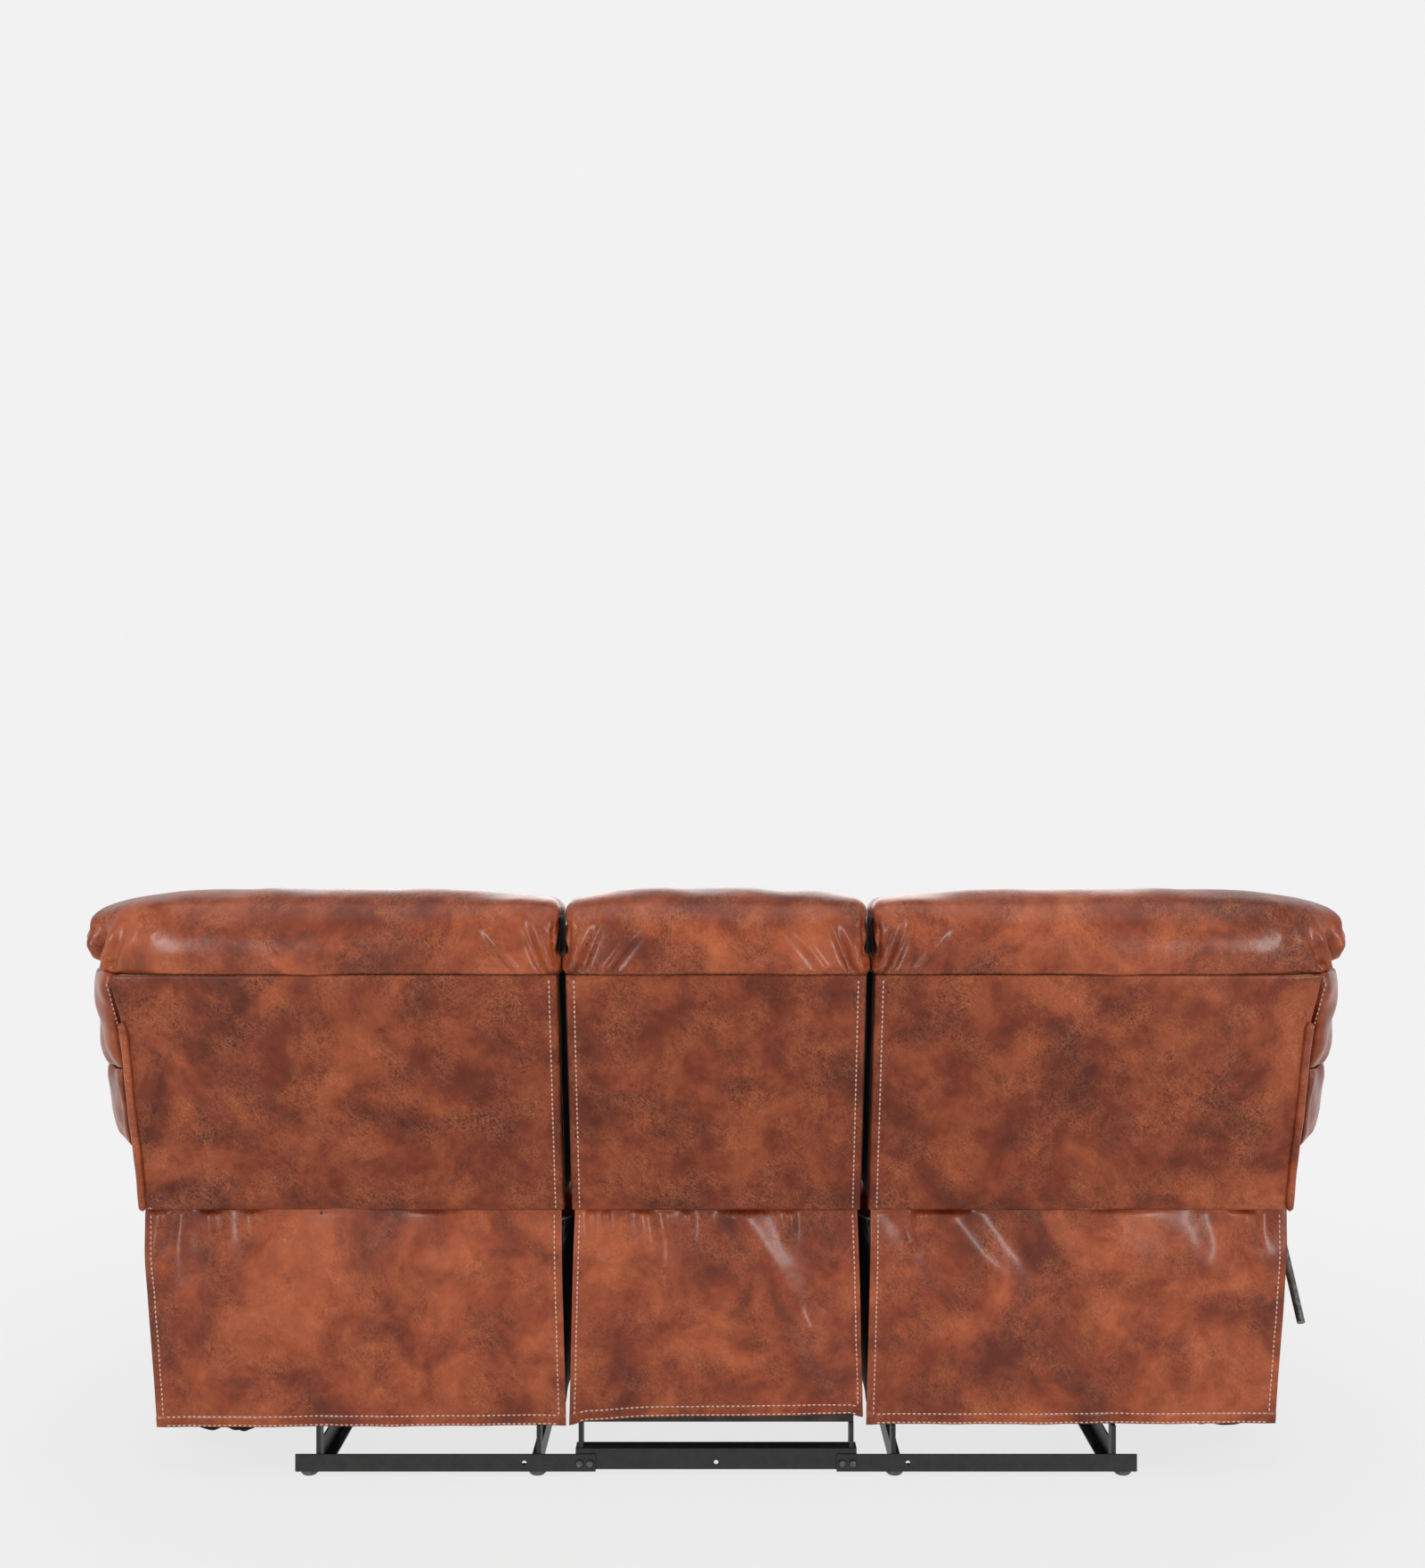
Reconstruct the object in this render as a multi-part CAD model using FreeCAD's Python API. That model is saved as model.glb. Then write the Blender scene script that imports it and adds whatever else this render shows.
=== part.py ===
import FreeCAD, Part
import math
import os

Vector = FreeCAD.Vector

# General fits, in millimetres
sheet = 3.0
free_gap = 0.3
pin_fit = 0.05
head_gap = 0.2

# Leaning backs, all three alike
lean_angle = 16.1
back_rear_y = 340.0
back_bottom_z = 476.0
seam_z = 892.0
roll_height = 142.0
back_depth = 235.0
frame_depth = 45.0
frame_lift = 2.0
foot_setback = 24.0
stile_width = 30.0
cross_height = 40.0
cover_wall = 4.0
tier_z = 727.0
tier_gap = 2.0
lower_pad_z = 486.0
lower_pad_crown = 16.0
upper_pad_crown = 14.0
pad_draw = 14.0
pad_rise = 8.0
wing_crown = 12.0
wing_bulge = 8.0
wing_lap = 30.0
wing_setback = 14.0
wing_sweep = 78.0
wing_end_setback = 10.0

# Widths from the middle of the sofa outwards
centre_half = 247.0
unit_gap = 14.0
back_outer_top = 995.0
back_taper = 10.0
wing_reach = 77.0
wing_foot = 12.0
soft_gap = 1.0

# Headrest roll: its shoulders are set in from the front and rear and down from the top
roll_reach = 51.0
roll_overhang = 4.0
roll_front_shoulder = (66.0, 36.0)
roll_rear_shoulder = (13.0, 28.0)
roll_nose = 20.0
roll_crown = 28.0
roll_bulge = 19.5
roll_draw = [(-10, 0), (12, 0), (14, -14), (-14, -14)]
roll_sweep = 62.0

# Steel base standing on glides
foot_height = 9.0
foot_radius = 15.0
foot_chamfer = 3.0
rail_height = 30.0
rail_flange = 30.0
rail_half_length = 733.0
rail_corner_cut = 20.0
rear_rail_y = 290.0
front_rail_y = -410.0
rail_inner_end = 210.0
centre_rail_half = 245.0
centre_rail_rise = 9.0
rail_bolt_radius = 4.0
rail_bolt_head = 5.8
rail_bolt_head_height = 5.0
rail_bolt_inset = 7.0
rail_bolt_pitch = 18.0
rail_hole_radius = 4.0
rail_hole_x = 334.0
foot_inner_x = 312.0
foot_outer_x = 711.0

# Side members and their lugs, one pair under each reclining seat
layer_start = 305.0
layer_pitch = 5.0
mechanism_centre = 501.0
member_height = 40.0
member_foot = 22.0
lug_radius = 14.0
lug_foot = 40.0
upright_width = 8.0
upright_depth = 22.0
upright_top = 88.0

# Swinging carriers, leaning back at rest
carrier_length = 90.0
carrier_lean = 25.0
carrier_eye = 13.0
carrier_pivot_z = 290.0
front_carrier_y = -150.0
rear_carrier_y = 150.0
carrier_pin = 5.0
carrier_tube = 9.0
open_pivot_gap = 0.3

# Seat frame
plate_top = 395.0
plate_front = -382.0
plate_nose_z = 345.0
plate_nose_radius = 12.0
plate_eye_radius = 25.0
plate_main_drop = 10.0
plate_carrier_drop = 5.0
back_pivot_y = 230.0
back_pivot_z = 380.0
back_pin = 6.0
seat_tube = 20.0
seat_tube_wall = 2.0
front_tube_y = -382.0
rear_tube_y = 130.0
spring_count = 5
spring_loops = 8
spring_wire = 3.5
spring_swing = 22.0
spring_drop = 6.0
spring_margin = 20.0

# Brackets that carry the leaning back on its pivot
back_bracket_eye = 20.0
back_bracket_corner = 7.0
back_bracket_top = 22.0
back_bracket_flange = 25.0
back_pin_head = 10.0

# Pillows: how far the rounding reaches in from an end, and the crown left there
pillow_end_share = 0.12
pillow_end_crown = 0.35
pillow_sweep_share = 0.2

# Seat cushions
seat_front = -455.0
seat_rear = 90.0
seat_side_z = 478.0
seat_crown = 22.0
seat_nose = 18.0
seat_rear_bulge = 4.0
seat_clearance = 7.0
seat_draw = [(-6, 0), (10, 0), (12, -16), (-8, -16)]

# Footrest linkage, closed under the seat
main_pivot = (-250.0, 300.0)
main_length = 185.0
board_pivot = (-385.0, 290.0)
upper_length = 230.0
cross_distance = 80.0
guide_pivot = (-325.7, 356.2)
guide_offset = 65.0
guide_bend = 10.0
bracket_arm = 67.2
bracket_angle = -100.0
link_half_width = 11.0
link_pin = 4.0
rivet_head = 7.0
rivet_height = 1.5
cross_slack = 8.5
cross_wall = 6.0
bracket_slack = 4.0
bracket_wall = 5.0
bracket_edge = 6.0
bracket_rise = 40.0

# Footrest
board_rear = -412.0
board_thickness = 15.0
board_bottom = 130.0
board_top = 380.0
board_inset = 18.0
pad_bottom = 112.0
pad_top = 386.0
pad_face = -466.0
pad_bulge = 8.0
pad_edge_bulge = 0.5
pad_end_draw = [(0, 8), (10, 12), (10, -12), (0, -8)]

# Arms
arm_inner = 755.0
arm_outer_top = 1036.0
arm_flare = 24.0
arm_front = -465.0
arm_rear = 160.0
arm_bottom = 60.0
arm_cover_top = 556.0
arm_top = 576.0
arm_padding = 10.0
arm_pad_edge = 8.0
arm_pad_nose = 6.0
arm_pad_crown = 8.0
arm_pad_tail = 2.0
arm_pad_draw = [(-4, 0), (4, 0), (6, -6), (-6, -6)]
board = 18.0
outrigger = 20.0
outrigger_width = 25.0
outrigger_ys = (-370.0, 110.0)

# Release lever
lever_y = 40.0
lever_z = 405.0
tube_radius = 10.0
tube_wall = 2.0
tube_reach = 2.0
lever_gap = 10.0
lever_hub_radius = 14.0
lever_hub_width = 20.0
lever_hub_chamfer = 3.0
lever_rod_radius = 7.25
lever_rod_length = 223.0
crank_length = 45.0
crank_angle = -80.0
crank_eye = 9.0
crank_rim = 4.0
cover_bore_gap = 2.0
right_lever_angle = -130.0
left_lever_angle = -48.0

# Skirts hanging below the rear panels
skirt_bottom_z = 91.0
skirt_top_y = 328.0
skirt_bottom_y = 295.0
skirt_thickness = 4.0
skirt_folds = 6
skirt_top_wave = 1.0
skirt_bottom_wave = 5.0
skirt_inner_splay = 7.0
skirt_outer_taper = 12.0
centre_skirt_splay = 14.0

# Centre seat
box_setback = 7.0
box_front = -420.0
box_rear = 280.0
box_bottom = 92.0
post_width = 8.0
post_depth = 25.0
centre_pad_setback = 3.0
centre_pad_drop = 12.0

# Values that follow from the sizes above
lean_slope = math.tan(math.radians(lean_angle))
unit_inner = centre_half + unit_gap
back_outer_bottom = back_outer_top - back_taper
wing_outer = back_outer_top + wing_reach
sofa_top_z = seam_z + roll_height
roll_outer = back_outer_top + roll_reach
seat_inner = unit_inner + soft_gap
seat_outer = arm_inner - seat_clearance
arm_outer_bottom = arm_outer_top - arm_flare
tube_inner_x = arm_inner - tube_reach
lever_face_x = arm_outer_top + lever_gap
box_half = centre_half - box_setback
skirt_inner_top = unit_inner + cover_wall + soft_gap
skirt_inner_bottom = skirt_inner_top - skirt_inner_splay
skirt_outer_top = back_outer_bottom - cover_wall - soft_gap
skirt_outer_bottom = skirt_outer_top - skirt_outer_taper
centre_skirt_top = centre_half - cover_wall - soft_gap
centre_skirt_bottom = centre_skirt_top + centre_skirt_splay
rail_top = foot_height + rail_height
flange_top = foot_height + sheet
member_top = flange_top + member_height


# Basic solids

def block(x0, x1, y0, y1, z0, z1):
    return Part.makeBox(x1 - x0, y1 - y0, z1 - z0, Vector(x0, y0, z0))


def rod_x(y, z, radius, x0, x1):
    return Part.makeCylinder(radius, x1 - x0, Vector(x0, y, z), Vector(1, 0, 0))


def prism_y(points, y0, y1):
    corners = [Vector(x, y0, z) for x, z in points]
    face = Part.Face(Part.makePolygon(corners + corners[:1]))
    return face.extrude(Vector(0, y1 - y0, 0))


def mirrored(shape, x=0.0):
    return shape.mirror(Vector(x, 0, 0), Vector(1, 0, 0))


def both_layers(shape):
    # The same piece on the inner and on the outer side of one mechanism
    return [shape, mirrored(shape, mechanism_centre)]


def both_sides(shape):
    return [shape, mirrored(shape)]


def fused(shapes):
    whole = shapes[0].multiFuse(shapes[1:])
    return whole.removeSplitter()


def export(name, shapes):
    solids = [solid for shape in shapes for solid in shape.Solids]
    Part.makeCompound(solids).exportStep("parts/" + name + ".step")


def export_pair(name, shapes):
    export("left_" + name, shapes)
    export("right_" + name, [mirrored(shape) for shape in shapes])


# Flat links: the outline runs round its eyes, listed anticlockwise seen from +X

def eye_outline(eyes, x0):
    count = len(eyes)
    tangents = []
    for index in range(count):
        y1, z1, r1 = eyes[index]
        y2, z2, r2 = eyes[(index + 1) % count]
        length = math.hypot(y2 - y1, z2 - z1)
        heading = math.atan2(z2 - z1, y2 - y1)
        normal = heading - math.acos((r1 - r2) / length)
        tangents.append(normal)
    edges = []
    for index in range(count):
        y, z, r = eyes[index]
        start = tangents[index - 1]
        turn = (tangents[index] - start) % (2 * math.pi)
        marks = [start, start + turn / 2, start + turn]
        points = [Vector(x0, y + r * math.cos(a), z + r * math.sin(a)) for a in marks]
        edges.append(Part.Arc(*points).toShape())
        after = (index + 1) % count
        y2, z2, r2 = eyes[after]
        normal = tangents[index]
        target = Vector(x0, y2 + r2 * math.cos(normal), z2 + r2 * math.sin(normal))
        edges.append(Part.LineSegment(points[2], target).toShape())
    return Part.Wire(Part.__sortEdges__(edges))


def link(eyes, layer, holes=()):
    x0 = layer_start + layer * layer_pitch
    plate = Part.Face(eye_outline(eyes, x0)).extrude(Vector(sheet, 0, 0))
    for y, z, radius in holes:
        plate = plate.cut(rod_x(y, z, radius, x0 - sheet, x0 + 2 * sheet))
    return plate


def rivet(y, z, radius, head, height, from_layer, to_layer):
    # A pin fixed in from_layer whose head lies outside to_layer
    start = layer_start + to_layer * layer_pitch - head_gap
    end = layer_start + from_layer * layer_pitch + sheet
    shank = rod_x(y, z, radius, start, end)
    return shank.fuse(rod_x(y, z, head, start - height, start))


def polar(point, length, angle):
    # Angles start forwards, along -Y, and grow upwards
    turn = math.radians(angle)
    return (point[0] - length * math.cos(turn), point[1] + length * math.sin(turn))


def direction(start, end):
    return math.degrees(math.atan2(end[1] - start[1], start[0] - end[0]))


def distance(start, end):
    return math.hypot(end[0] - start[0], end[1] - start[1])


def lower_knee(start, first, end, second):
    # The lower meeting point of two links of the given lengths
    span = distance(start, end)
    opening = (first * first + span * span - second * second) / (2 * first * span)
    return polar(start, first, direction(start, end) - math.degrees(math.acos(opening)))


# Soft forms: profiles of four arcs or lines, lofted across the sofa

def bowed_edge(start, end, bow, inward):
    if bow == 0:
        return Part.LineSegment(start, end).toShape()
    middle = (start + end) * 0.5
    normal = Vector(0, end.z - start.z, start.y - end.y)
    normal.normalize()
    if normal.dot(inward - middle) > 0:
        normal = normal * -1
    return Part.Arc(start, middle + normal * bow, end).toShape()


def profile(x, corners, bows):
    points = [Vector(x, y, z) for y, z in corners]
    centre = (points[0] + points[1] + points[2] + points[3]) * 0.25
    edges = []
    for index in range(4):
        after = points[(index + 1) % 4]
        edges.append(bowed_edge(points[index], after, bows[index], centre))
    return Part.Wire(edges)


def end_rounding(share):
    # Falls from 1 at a pillow's end to 0 where its rounded end runs out
    reach = min(share, 1 - share) / pillow_end_share
    return 1 - math.sqrt(1 - (1 - min(reach, 1)) ** 2)


def pillow(x0, x1, corners, bows, drawn, sweep=0):
    # Corners in order; drawn holds how far each one is pulled in at the two ends, and sweep how
    # far the rear corners, first and last, also run forwards towards the outer end
    near = [pillow_end_share * step for step in (0, 0.1, 0.4, 1)]
    middle = [pillow_end_share + (1 - 2 * pillow_end_share) * step / 4 for step in (1, 2, 3)]
    wires = []
    for share in near + middle + [1 - step for step in reversed(near)]:
        pull = end_rounding(share)
        crown = pillow_end_crown + (1 - pillow_end_crown) * (1 - (2 * share - 1) ** 4)
        late = max(share - 1 + pillow_sweep_share, 0) / pillow_sweep_share
        forward = [sweep * late ** 2, 0, 0, sweep * late ** 2]
        placed = []
        for (y, z), (dy, dz), ahead in zip(corners, drawn, forward):
            placed.append((y + dy * pull - ahead, z + dz * pull))
        wires.append(profile(x0 + (x1 - x0) * share, placed, [bow * crown for bow in bows]))
    return Part.makeLoft(wires, True, True)


def rear_face(z):
    return back_rear_y + (z - back_bottom_z) * lean_slope


# Steel base

def corner_cut(x_tip, y_inner):
    points = [Vector(x_tip - rail_corner_cut, y_inner, 0), Vector(x_tip, y_inner, 0)]
    points.append(Vector(x_tip, y_inner + rail_corner_cut, 0))
    face = Part.Face(Part.makePolygon(points + points[:1]))
    return face.extrude(Vector(0, 0, rail_top))


def rear_rail():
    wall = block(rail_inner_end, rail_half_length, rear_rail_y - sheet, rear_rail_y,
                 foot_height, rail_top)
    flange = block(rail_inner_end, rail_half_length, rear_rail_y - rail_flange,
                   rear_rail_y - sheet, foot_height, flange_top)
    rail = fused([wall, flange.cut(corner_cut(rail_half_length, rear_rail_y - rail_flange))])
    for x in bolt_xs():
        rail = rail.cut(cross_hole(x, rail_bolt_radius + pin_fit))
    return rail.cut(cross_hole(rail_hole_x, rail_hole_radius))


def bolt_xs():
    last = centre_rail_half - rail_bolt_inset
    return [last - rail_bolt_pitch, last]


def bolt_z():
    return foot_height + rail_height / 2


def cross_hole(x, radius):
    start = rear_rail_y - 3 * sheet
    return Part.makeCylinder(radius, 4 * sheet, Vector(x, start, bolt_z()), Vector(0, 1, 0))


def centre_rail():
    wall_y = rear_rail_y - sheet
    top = rail_top + centre_rail_rise
    wall = block(-centre_rail_half, centre_rail_half, wall_y - sheet, wall_y, flange_top, top)
    flange = block(-centre_rail_half, centre_rail_half, wall_y - rail_flange,
                   wall_y - sheet, top - sheet, top)
    rail = fused([wall, flange])
    for x in bolt_xs():
        rail = rail.cut(cross_hole(x, rail_bolt_radius + pin_fit))
        rail = rail.cut(cross_hole(-x, rail_bolt_radius + pin_fit))
    return rail.cut(cross_hole(0, rail_hole_radius))


def hexagon(x, y0, y1, across):
    points = []
    for step in range(6):
        angle = math.radians(60 * step)
        points.append((x + across * math.cos(angle), bolt_z() + across * math.sin(angle)))
    return prism_y(points, y0, y1)


def rail_bolt(x):
    nut_face = rear_rail_y - 2 * sheet
    shank = Part.makeCylinder(rail_bolt_radius, rear_rail_y - nut_face + rail_bolt_head_height,
                              Vector(x, nut_face - rail_bolt_head_height, bolt_z()),
                              Vector(0, 1, 0))
    head = hexagon(x, rear_rail_y, rear_rail_y + rail_bolt_head_height, rail_bolt_head)
    nut = hexagon(x, nut_face - rail_bolt_head_height, nut_face, rail_bolt_head)
    return fused([shank, head, nut])


def front_rail():
    wall = block(-rail_half_length, rail_half_length, front_rail_y, front_rail_y + sheet,
                 foot_height, rail_top)
    flange = block(-rail_half_length, rail_half_length, front_rail_y + sheet,
                   front_rail_y + rail_flange, foot_height, flange_top)
    return fused([wall, flange])


def glide_foot(x, y):
    stem = Part.makeCylinder(foot_radius, foot_height - foot_chamfer,
                             Vector(x, y, foot_chamfer))
    dome = Part.makeCone(foot_radius - foot_chamfer, foot_radius, foot_chamfer, Vector(x, y, 0))
    return fused([stem, dome])


def glide_feet():
    # Under the middle of each rail's flange
    half = (rail_flange - sheet) / 2
    ys = [rear_rail_y - sheet - half, front_rail_y + sheet + half]
    feet = []
    for y in ys:
        for x in (foot_inner_x, foot_outer_x):
            feet = feet + both_sides(glide_foot(x, y))
    return feet


def carrier_foot(pivot_y):
    lean = math.radians(carrier_lean)
    return (pivot_y - carrier_length * math.sin(lean),
            carrier_pivot_z - carrier_length * math.cos(lean))


def side_member():
    x0 = layer_start
    front_y = front_rail_y + sheet
    rear_y = rear_rail_y - sheet
    pieces = [block(x0, x0 + sheet, front_y, rear_y, flange_top, member_top)]
    pieces.append(block(x0, x0 + member_foot, front_y, rear_y, flange_top, flange_top + sheet))
    holes = []
    for pivot_y in (front_carrier_y, rear_carrier_y):
        y, z = carrier_foot(pivot_y)
        low = member_top - sheet
        eyes = [(y - lug_foot, low, sheet), (y + lug_foot, low, sheet), (y, z, lug_radius)]
        pieces.append(link(eyes, 0))
        holes.append(rod_x(y, z, carrier_pin + pin_fit, x0 - sheet, x0 + 2 * sheet))
    pieces.append(block(x0, x0 + upright_width, rear_y - upright_depth, rear_y,
                        flange_top, upright_top))
    member = fused(pieces)
    for hole in holes:
        member = member.cut(hole)
    return member


# Swinging carriers: two arms on one cross tube

def carriers(pivot_y, clearance_side):
    foot_y, foot_z = carrier_foot(pivot_y)
    arm = link([(foot_y, foot_z, carrier_eye), (pivot_y, carrier_pivot_z, carrier_eye)], 1)
    arm = arm.fuse(rivet(foot_y, foot_z, carrier_pin, rivet_head, rivet_height, 1, 0))
    end = layer_start + 2 * layer_pitch + sheet
    pin = rod_x(pivot_y, carrier_pivot_z, carrier_pin, end - 2 * sheet, end + clearance_side)
    arms = both_layers(arm.fuse(pin))
    tube_start = layer_start + layer_pitch + sheet
    tube = rod_x(foot_y, foot_z, carrier_tube, tube_start, 2 * mechanism_centre - tube_start)
    return [fused(arms + [tube])]


# Seat frame

def side_plate():
    nose = plate_nose_radius
    eyes = [(plate_front + nose, plate_nose_z, nose),
            (main_pivot[0], main_pivot[1] - plate_main_drop, plate_eye_radius),
            (rear_carrier_y, carrier_pivot_z - plate_carrier_drop, plate_eye_radius),
            (back_pivot_y, back_pivot_z, plate_top - back_pivot_z),
            (plate_front + nose, plate_top - nose, nose)]
    holes = [(front_carrier_y, carrier_pivot_z, carrier_pin + pin_fit),
             (rear_carrier_y, carrier_pivot_z, carrier_pin + open_pivot_gap),
             (back_pivot_y, back_pivot_z, back_pin + pin_fit),
             (main_pivot[0], main_pivot[1], link_pin + pin_fit),
             (guide_pivot[0], guide_pivot[1], link_pin + pin_fit)]
    return link(eyes, 2, holes)


def plate_inner_x():
    return layer_start + 2 * layer_pitch + sheet


def seat_tubes():
    x0 = plate_inner_x()
    x1 = 2 * mechanism_centre - x0
    tubes = []
    for y in (front_tube_y, rear_tube_y):
        bar = block(x0, x1, y, y + seat_tube, plate_top - seat_tube, plate_top)
        wall = seat_tube_wall
        bore = block(x0, x1, y + wall, y + seat_tube - wall, plate_top - seat_tube + wall,
                     plate_top - wall)
        tubes.append(bar.cut(bore))
    return tubes


def sinuous_wire(x, y0, y1, z):
    # A flat zigzag wire seen from above
    step = (y1 - y0) / (2 * spring_loops)
    reach = spring_wire / 2 / math.sin(math.atan2(step, 2 * spring_swing))
    path = [(x, y0)]
    for index in range(2 * spring_loops - 1):
        side = spring_swing if index % 2 == 0 else -spring_swing
        path.append((x + side, y0 + step * (index + 1)))
    path.append((x, y1))
    near = [Vector(px - reach, py, z) for px, py in path]
    far = [Vector(px + reach, py, z) for px, py in reversed(path)]
    face = Part.Face(Part.makePolygon(near + far + near[:1]))
    return face.extrude(Vector(0, 0, spring_wire))


def springs(x0, x1, y0, y1):
    pitch = (x1 - x0) / spring_count
    z = plate_top - spring_drop - spring_wire
    return [sinuous_wire(x0 + pitch * (index + 0.5), y0, y1, z) for index in range(spring_count)]


def seat_cushion(x0, x1):
    corners = [(seat_rear, plate_top), (seat_front, plate_top),
               (seat_front, seat_side_z), (seat_rear, seat_side_z)]
    return pillow(x0, x1, corners, [0, seat_nose, seat_crown, seat_rear_bulge], seat_draw)


# Footrest linkage

def linkage_points():
    knee = lower_knee(main_pivot, main_length, board_pivot, upper_length)
    cross = polar(knee, cross_distance, direction(knee, board_pivot))
    guide_angle = direction(guide_pivot, cross)
    tail = polar(cross, guide_offset, guide_angle + guide_bend)
    latch = polar(board_pivot, bracket_arm, bracket_angle)
    return knee, cross, tail, latch


def eye(point, radius=link_half_width):
    return (point[0], point[1], radius)


def main_links():
    knee, cross, tail, latch = linkage_points()
    bar = link([eye(knee), eye(main_pivot)], 3, [eye(knee, link_pin + pin_fit)])
    return both_layers(bar.fuse(rivet(main_pivot[0], main_pivot[1], link_pin, rivet_head,
                                      rivet_height, 3, 2)))


def guide_links():
    knee, cross, tail, latch = linkage_points()
    slack = link_pin + cross_slack
    bar = link([eye(tail), eye(guide_pivot), eye(cross, slack + cross_wall)][::-1], 3,
               [eye(tail, link_pin + pin_fit), eye(cross, slack)])
    return both_layers(bar.fuse(rivet(guide_pivot[0], guide_pivot[1], link_pin, rivet_head,
                                      rivet_height, 3, 2)))


def upper_links():
    knee, cross, tail, latch = linkage_points()
    bar = link([eye(knee), eye(board_pivot)], 4, [eye(board_pivot, link_pin + pin_fit)])
    bar = bar.fuse(rivet(knee[0], knee[1], link_pin, rivet_head, rivet_height, 4, 3))
    start = layer_start + 3 * layer_pitch
    cross_pin = rod_x(cross[0], cross[1], link_pin, start, start + layer_pitch + sheet)
    return both_layers(bar.fuse(cross_pin))


def stay_links():
    knee, cross, tail, latch = linkage_points()
    slack = link_pin + bracket_slack
    bar = link([eye(tail), eye(latch, slack + bracket_wall)], 4, [eye(latch, slack)])
    bar = bar.fuse(rivet(tail[0], tail[1], link_pin, rivet_head, rivet_height, 4, 3))
    return both_layers(bar)


def footrest_brackets():
    knee, cross, tail, latch = linkage_points()
    edge = board_rear + bracket_edge
    top = board_pivot[1] + bracket_rise
    eyes = [(edge, latch[1], bracket_edge), eye(latch), eye(board_pivot),
            (edge, top, bracket_edge)]
    plate = link(eyes, 5)
    x0 = layer_start + 5 * layer_pitch
    flange = block(x0, x0 + seat_tube, board_rear, board_rear + sheet, latch[1], top)
    plate = plate.fuse(flange)
    plate = plate.fuse(rivet(board_pivot[0], board_pivot[1], link_pin, rivet_head,
                             rivet_height, 5, 4))
    start = layer_start + 4 * layer_pitch
    latch_pin = rod_x(latch[0], latch[1], link_pin, start, start + layer_pitch + sheet)
    return both_layers(plate.fuse(latch_pin))


def footrest_board():
    front = board_rear - board_thickness
    return block(seat_inner + board_inset, seat_outer - board_inset, front, board_rear,
                 board_bottom, board_top)


def footrest_pad(x0, x1):
    rear = board_rear - board_thickness
    corners = [(rear, pad_bottom), (pad_face, pad_bottom), (pad_face, pad_top), (rear, pad_top)]
    return pillow(x0, x1, corners, [pad_edge_bulge, pad_bulge, pad_edge_bulge, 0], pad_end_draw)


# Backs

def leaning_slab(x0, x1_low, x1_high, z0, z1, depth0, depth1):
    low = rear_face(z0) - depth0
    high = rear_face(z1) - depth0
    corners = [Vector(x0, low, z0), Vector(x1_low, low, z0),
               Vector(x1_high, high, z1), Vector(x0, high, z1)]
    face = Part.Face(Part.makePolygon(corners + corners[:1]))
    return face.extrude(Vector(0, depth0 - depth1, 0))


def back_panel(x0, x1_low, x1_high):
    # Upholstered rear skin with its two side returns
    z0 = back_bottom_z
    outer = leaning_slab(x0, x1_low, x1_high, z0, seam_z, 0, frame_depth)
    inner = leaning_slab(x0 + cover_wall, x1_low - cover_wall, x1_high - cover_wall,
                         z0, seam_z, cover_wall, frame_depth + cover_wall)
    return outer.cut(inner)


def back_frame(x0, x1, stile_count):
    # Upright stiles with three cross rails between them
    low = back_bottom_z + frame_lift
    inner = x0 + cover_wall
    outer = x1 - cover_wall
    pitch = (outer - inner - stile_width) / (stile_count - 1)
    pieces = []
    for index in range(stile_count):
        start = inner + pitch * index
        end = start + stile_width
        pieces.append(leaning_slab(start, end, end, low, seam_z, cover_wall, frame_depth))
        if index < stile_count - 1:
            after = start + pitch
            for z in (low, (low + seam_z - cross_height) / 2, seam_z - cross_height):
                pieces.append(leaning_slab(end, after, after, z, z + cross_height,
                                           cover_wall, frame_depth))
    return pieces


def frame_feet(x0):
    # Lower ends of the middle back's outer stiles, standing on the seat box
    inner = x0 + cover_wall
    end = inner + stile_width
    low = back_bottom_z + frame_lift
    return both_sides(leaning_slab(inner, end, end, plate_top, low, foot_setback, frame_depth))


def back_pad(x0, x1, z0, z1, crown):
    corners = [(rear_face(z0) - frame_depth, z0), (rear_face(z0) - back_depth, z0),
               (rear_face(z1) - back_depth, z1), (rear_face(z1) - frame_depth, z1)]
    slide = pad_rise * lean_slope
    drawn = [(slide, pad_rise), (pad_draw, pad_rise), (pad_draw, -pad_rise), (-slide, -pad_rise)]
    return pillow(x0, x1, corners, [0, crown, 0, 0], drawn)


def back_pads(x0, x1):
    lower = back_pad(x0, x1, lower_pad_z, tier_z - tier_gap / 2, lower_pad_crown)
    upper = back_pad(x0, x1, tier_z + tier_gap / 2, seam_z - tier_gap / 2, upper_pad_crown)
    return [lower, upper]


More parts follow.
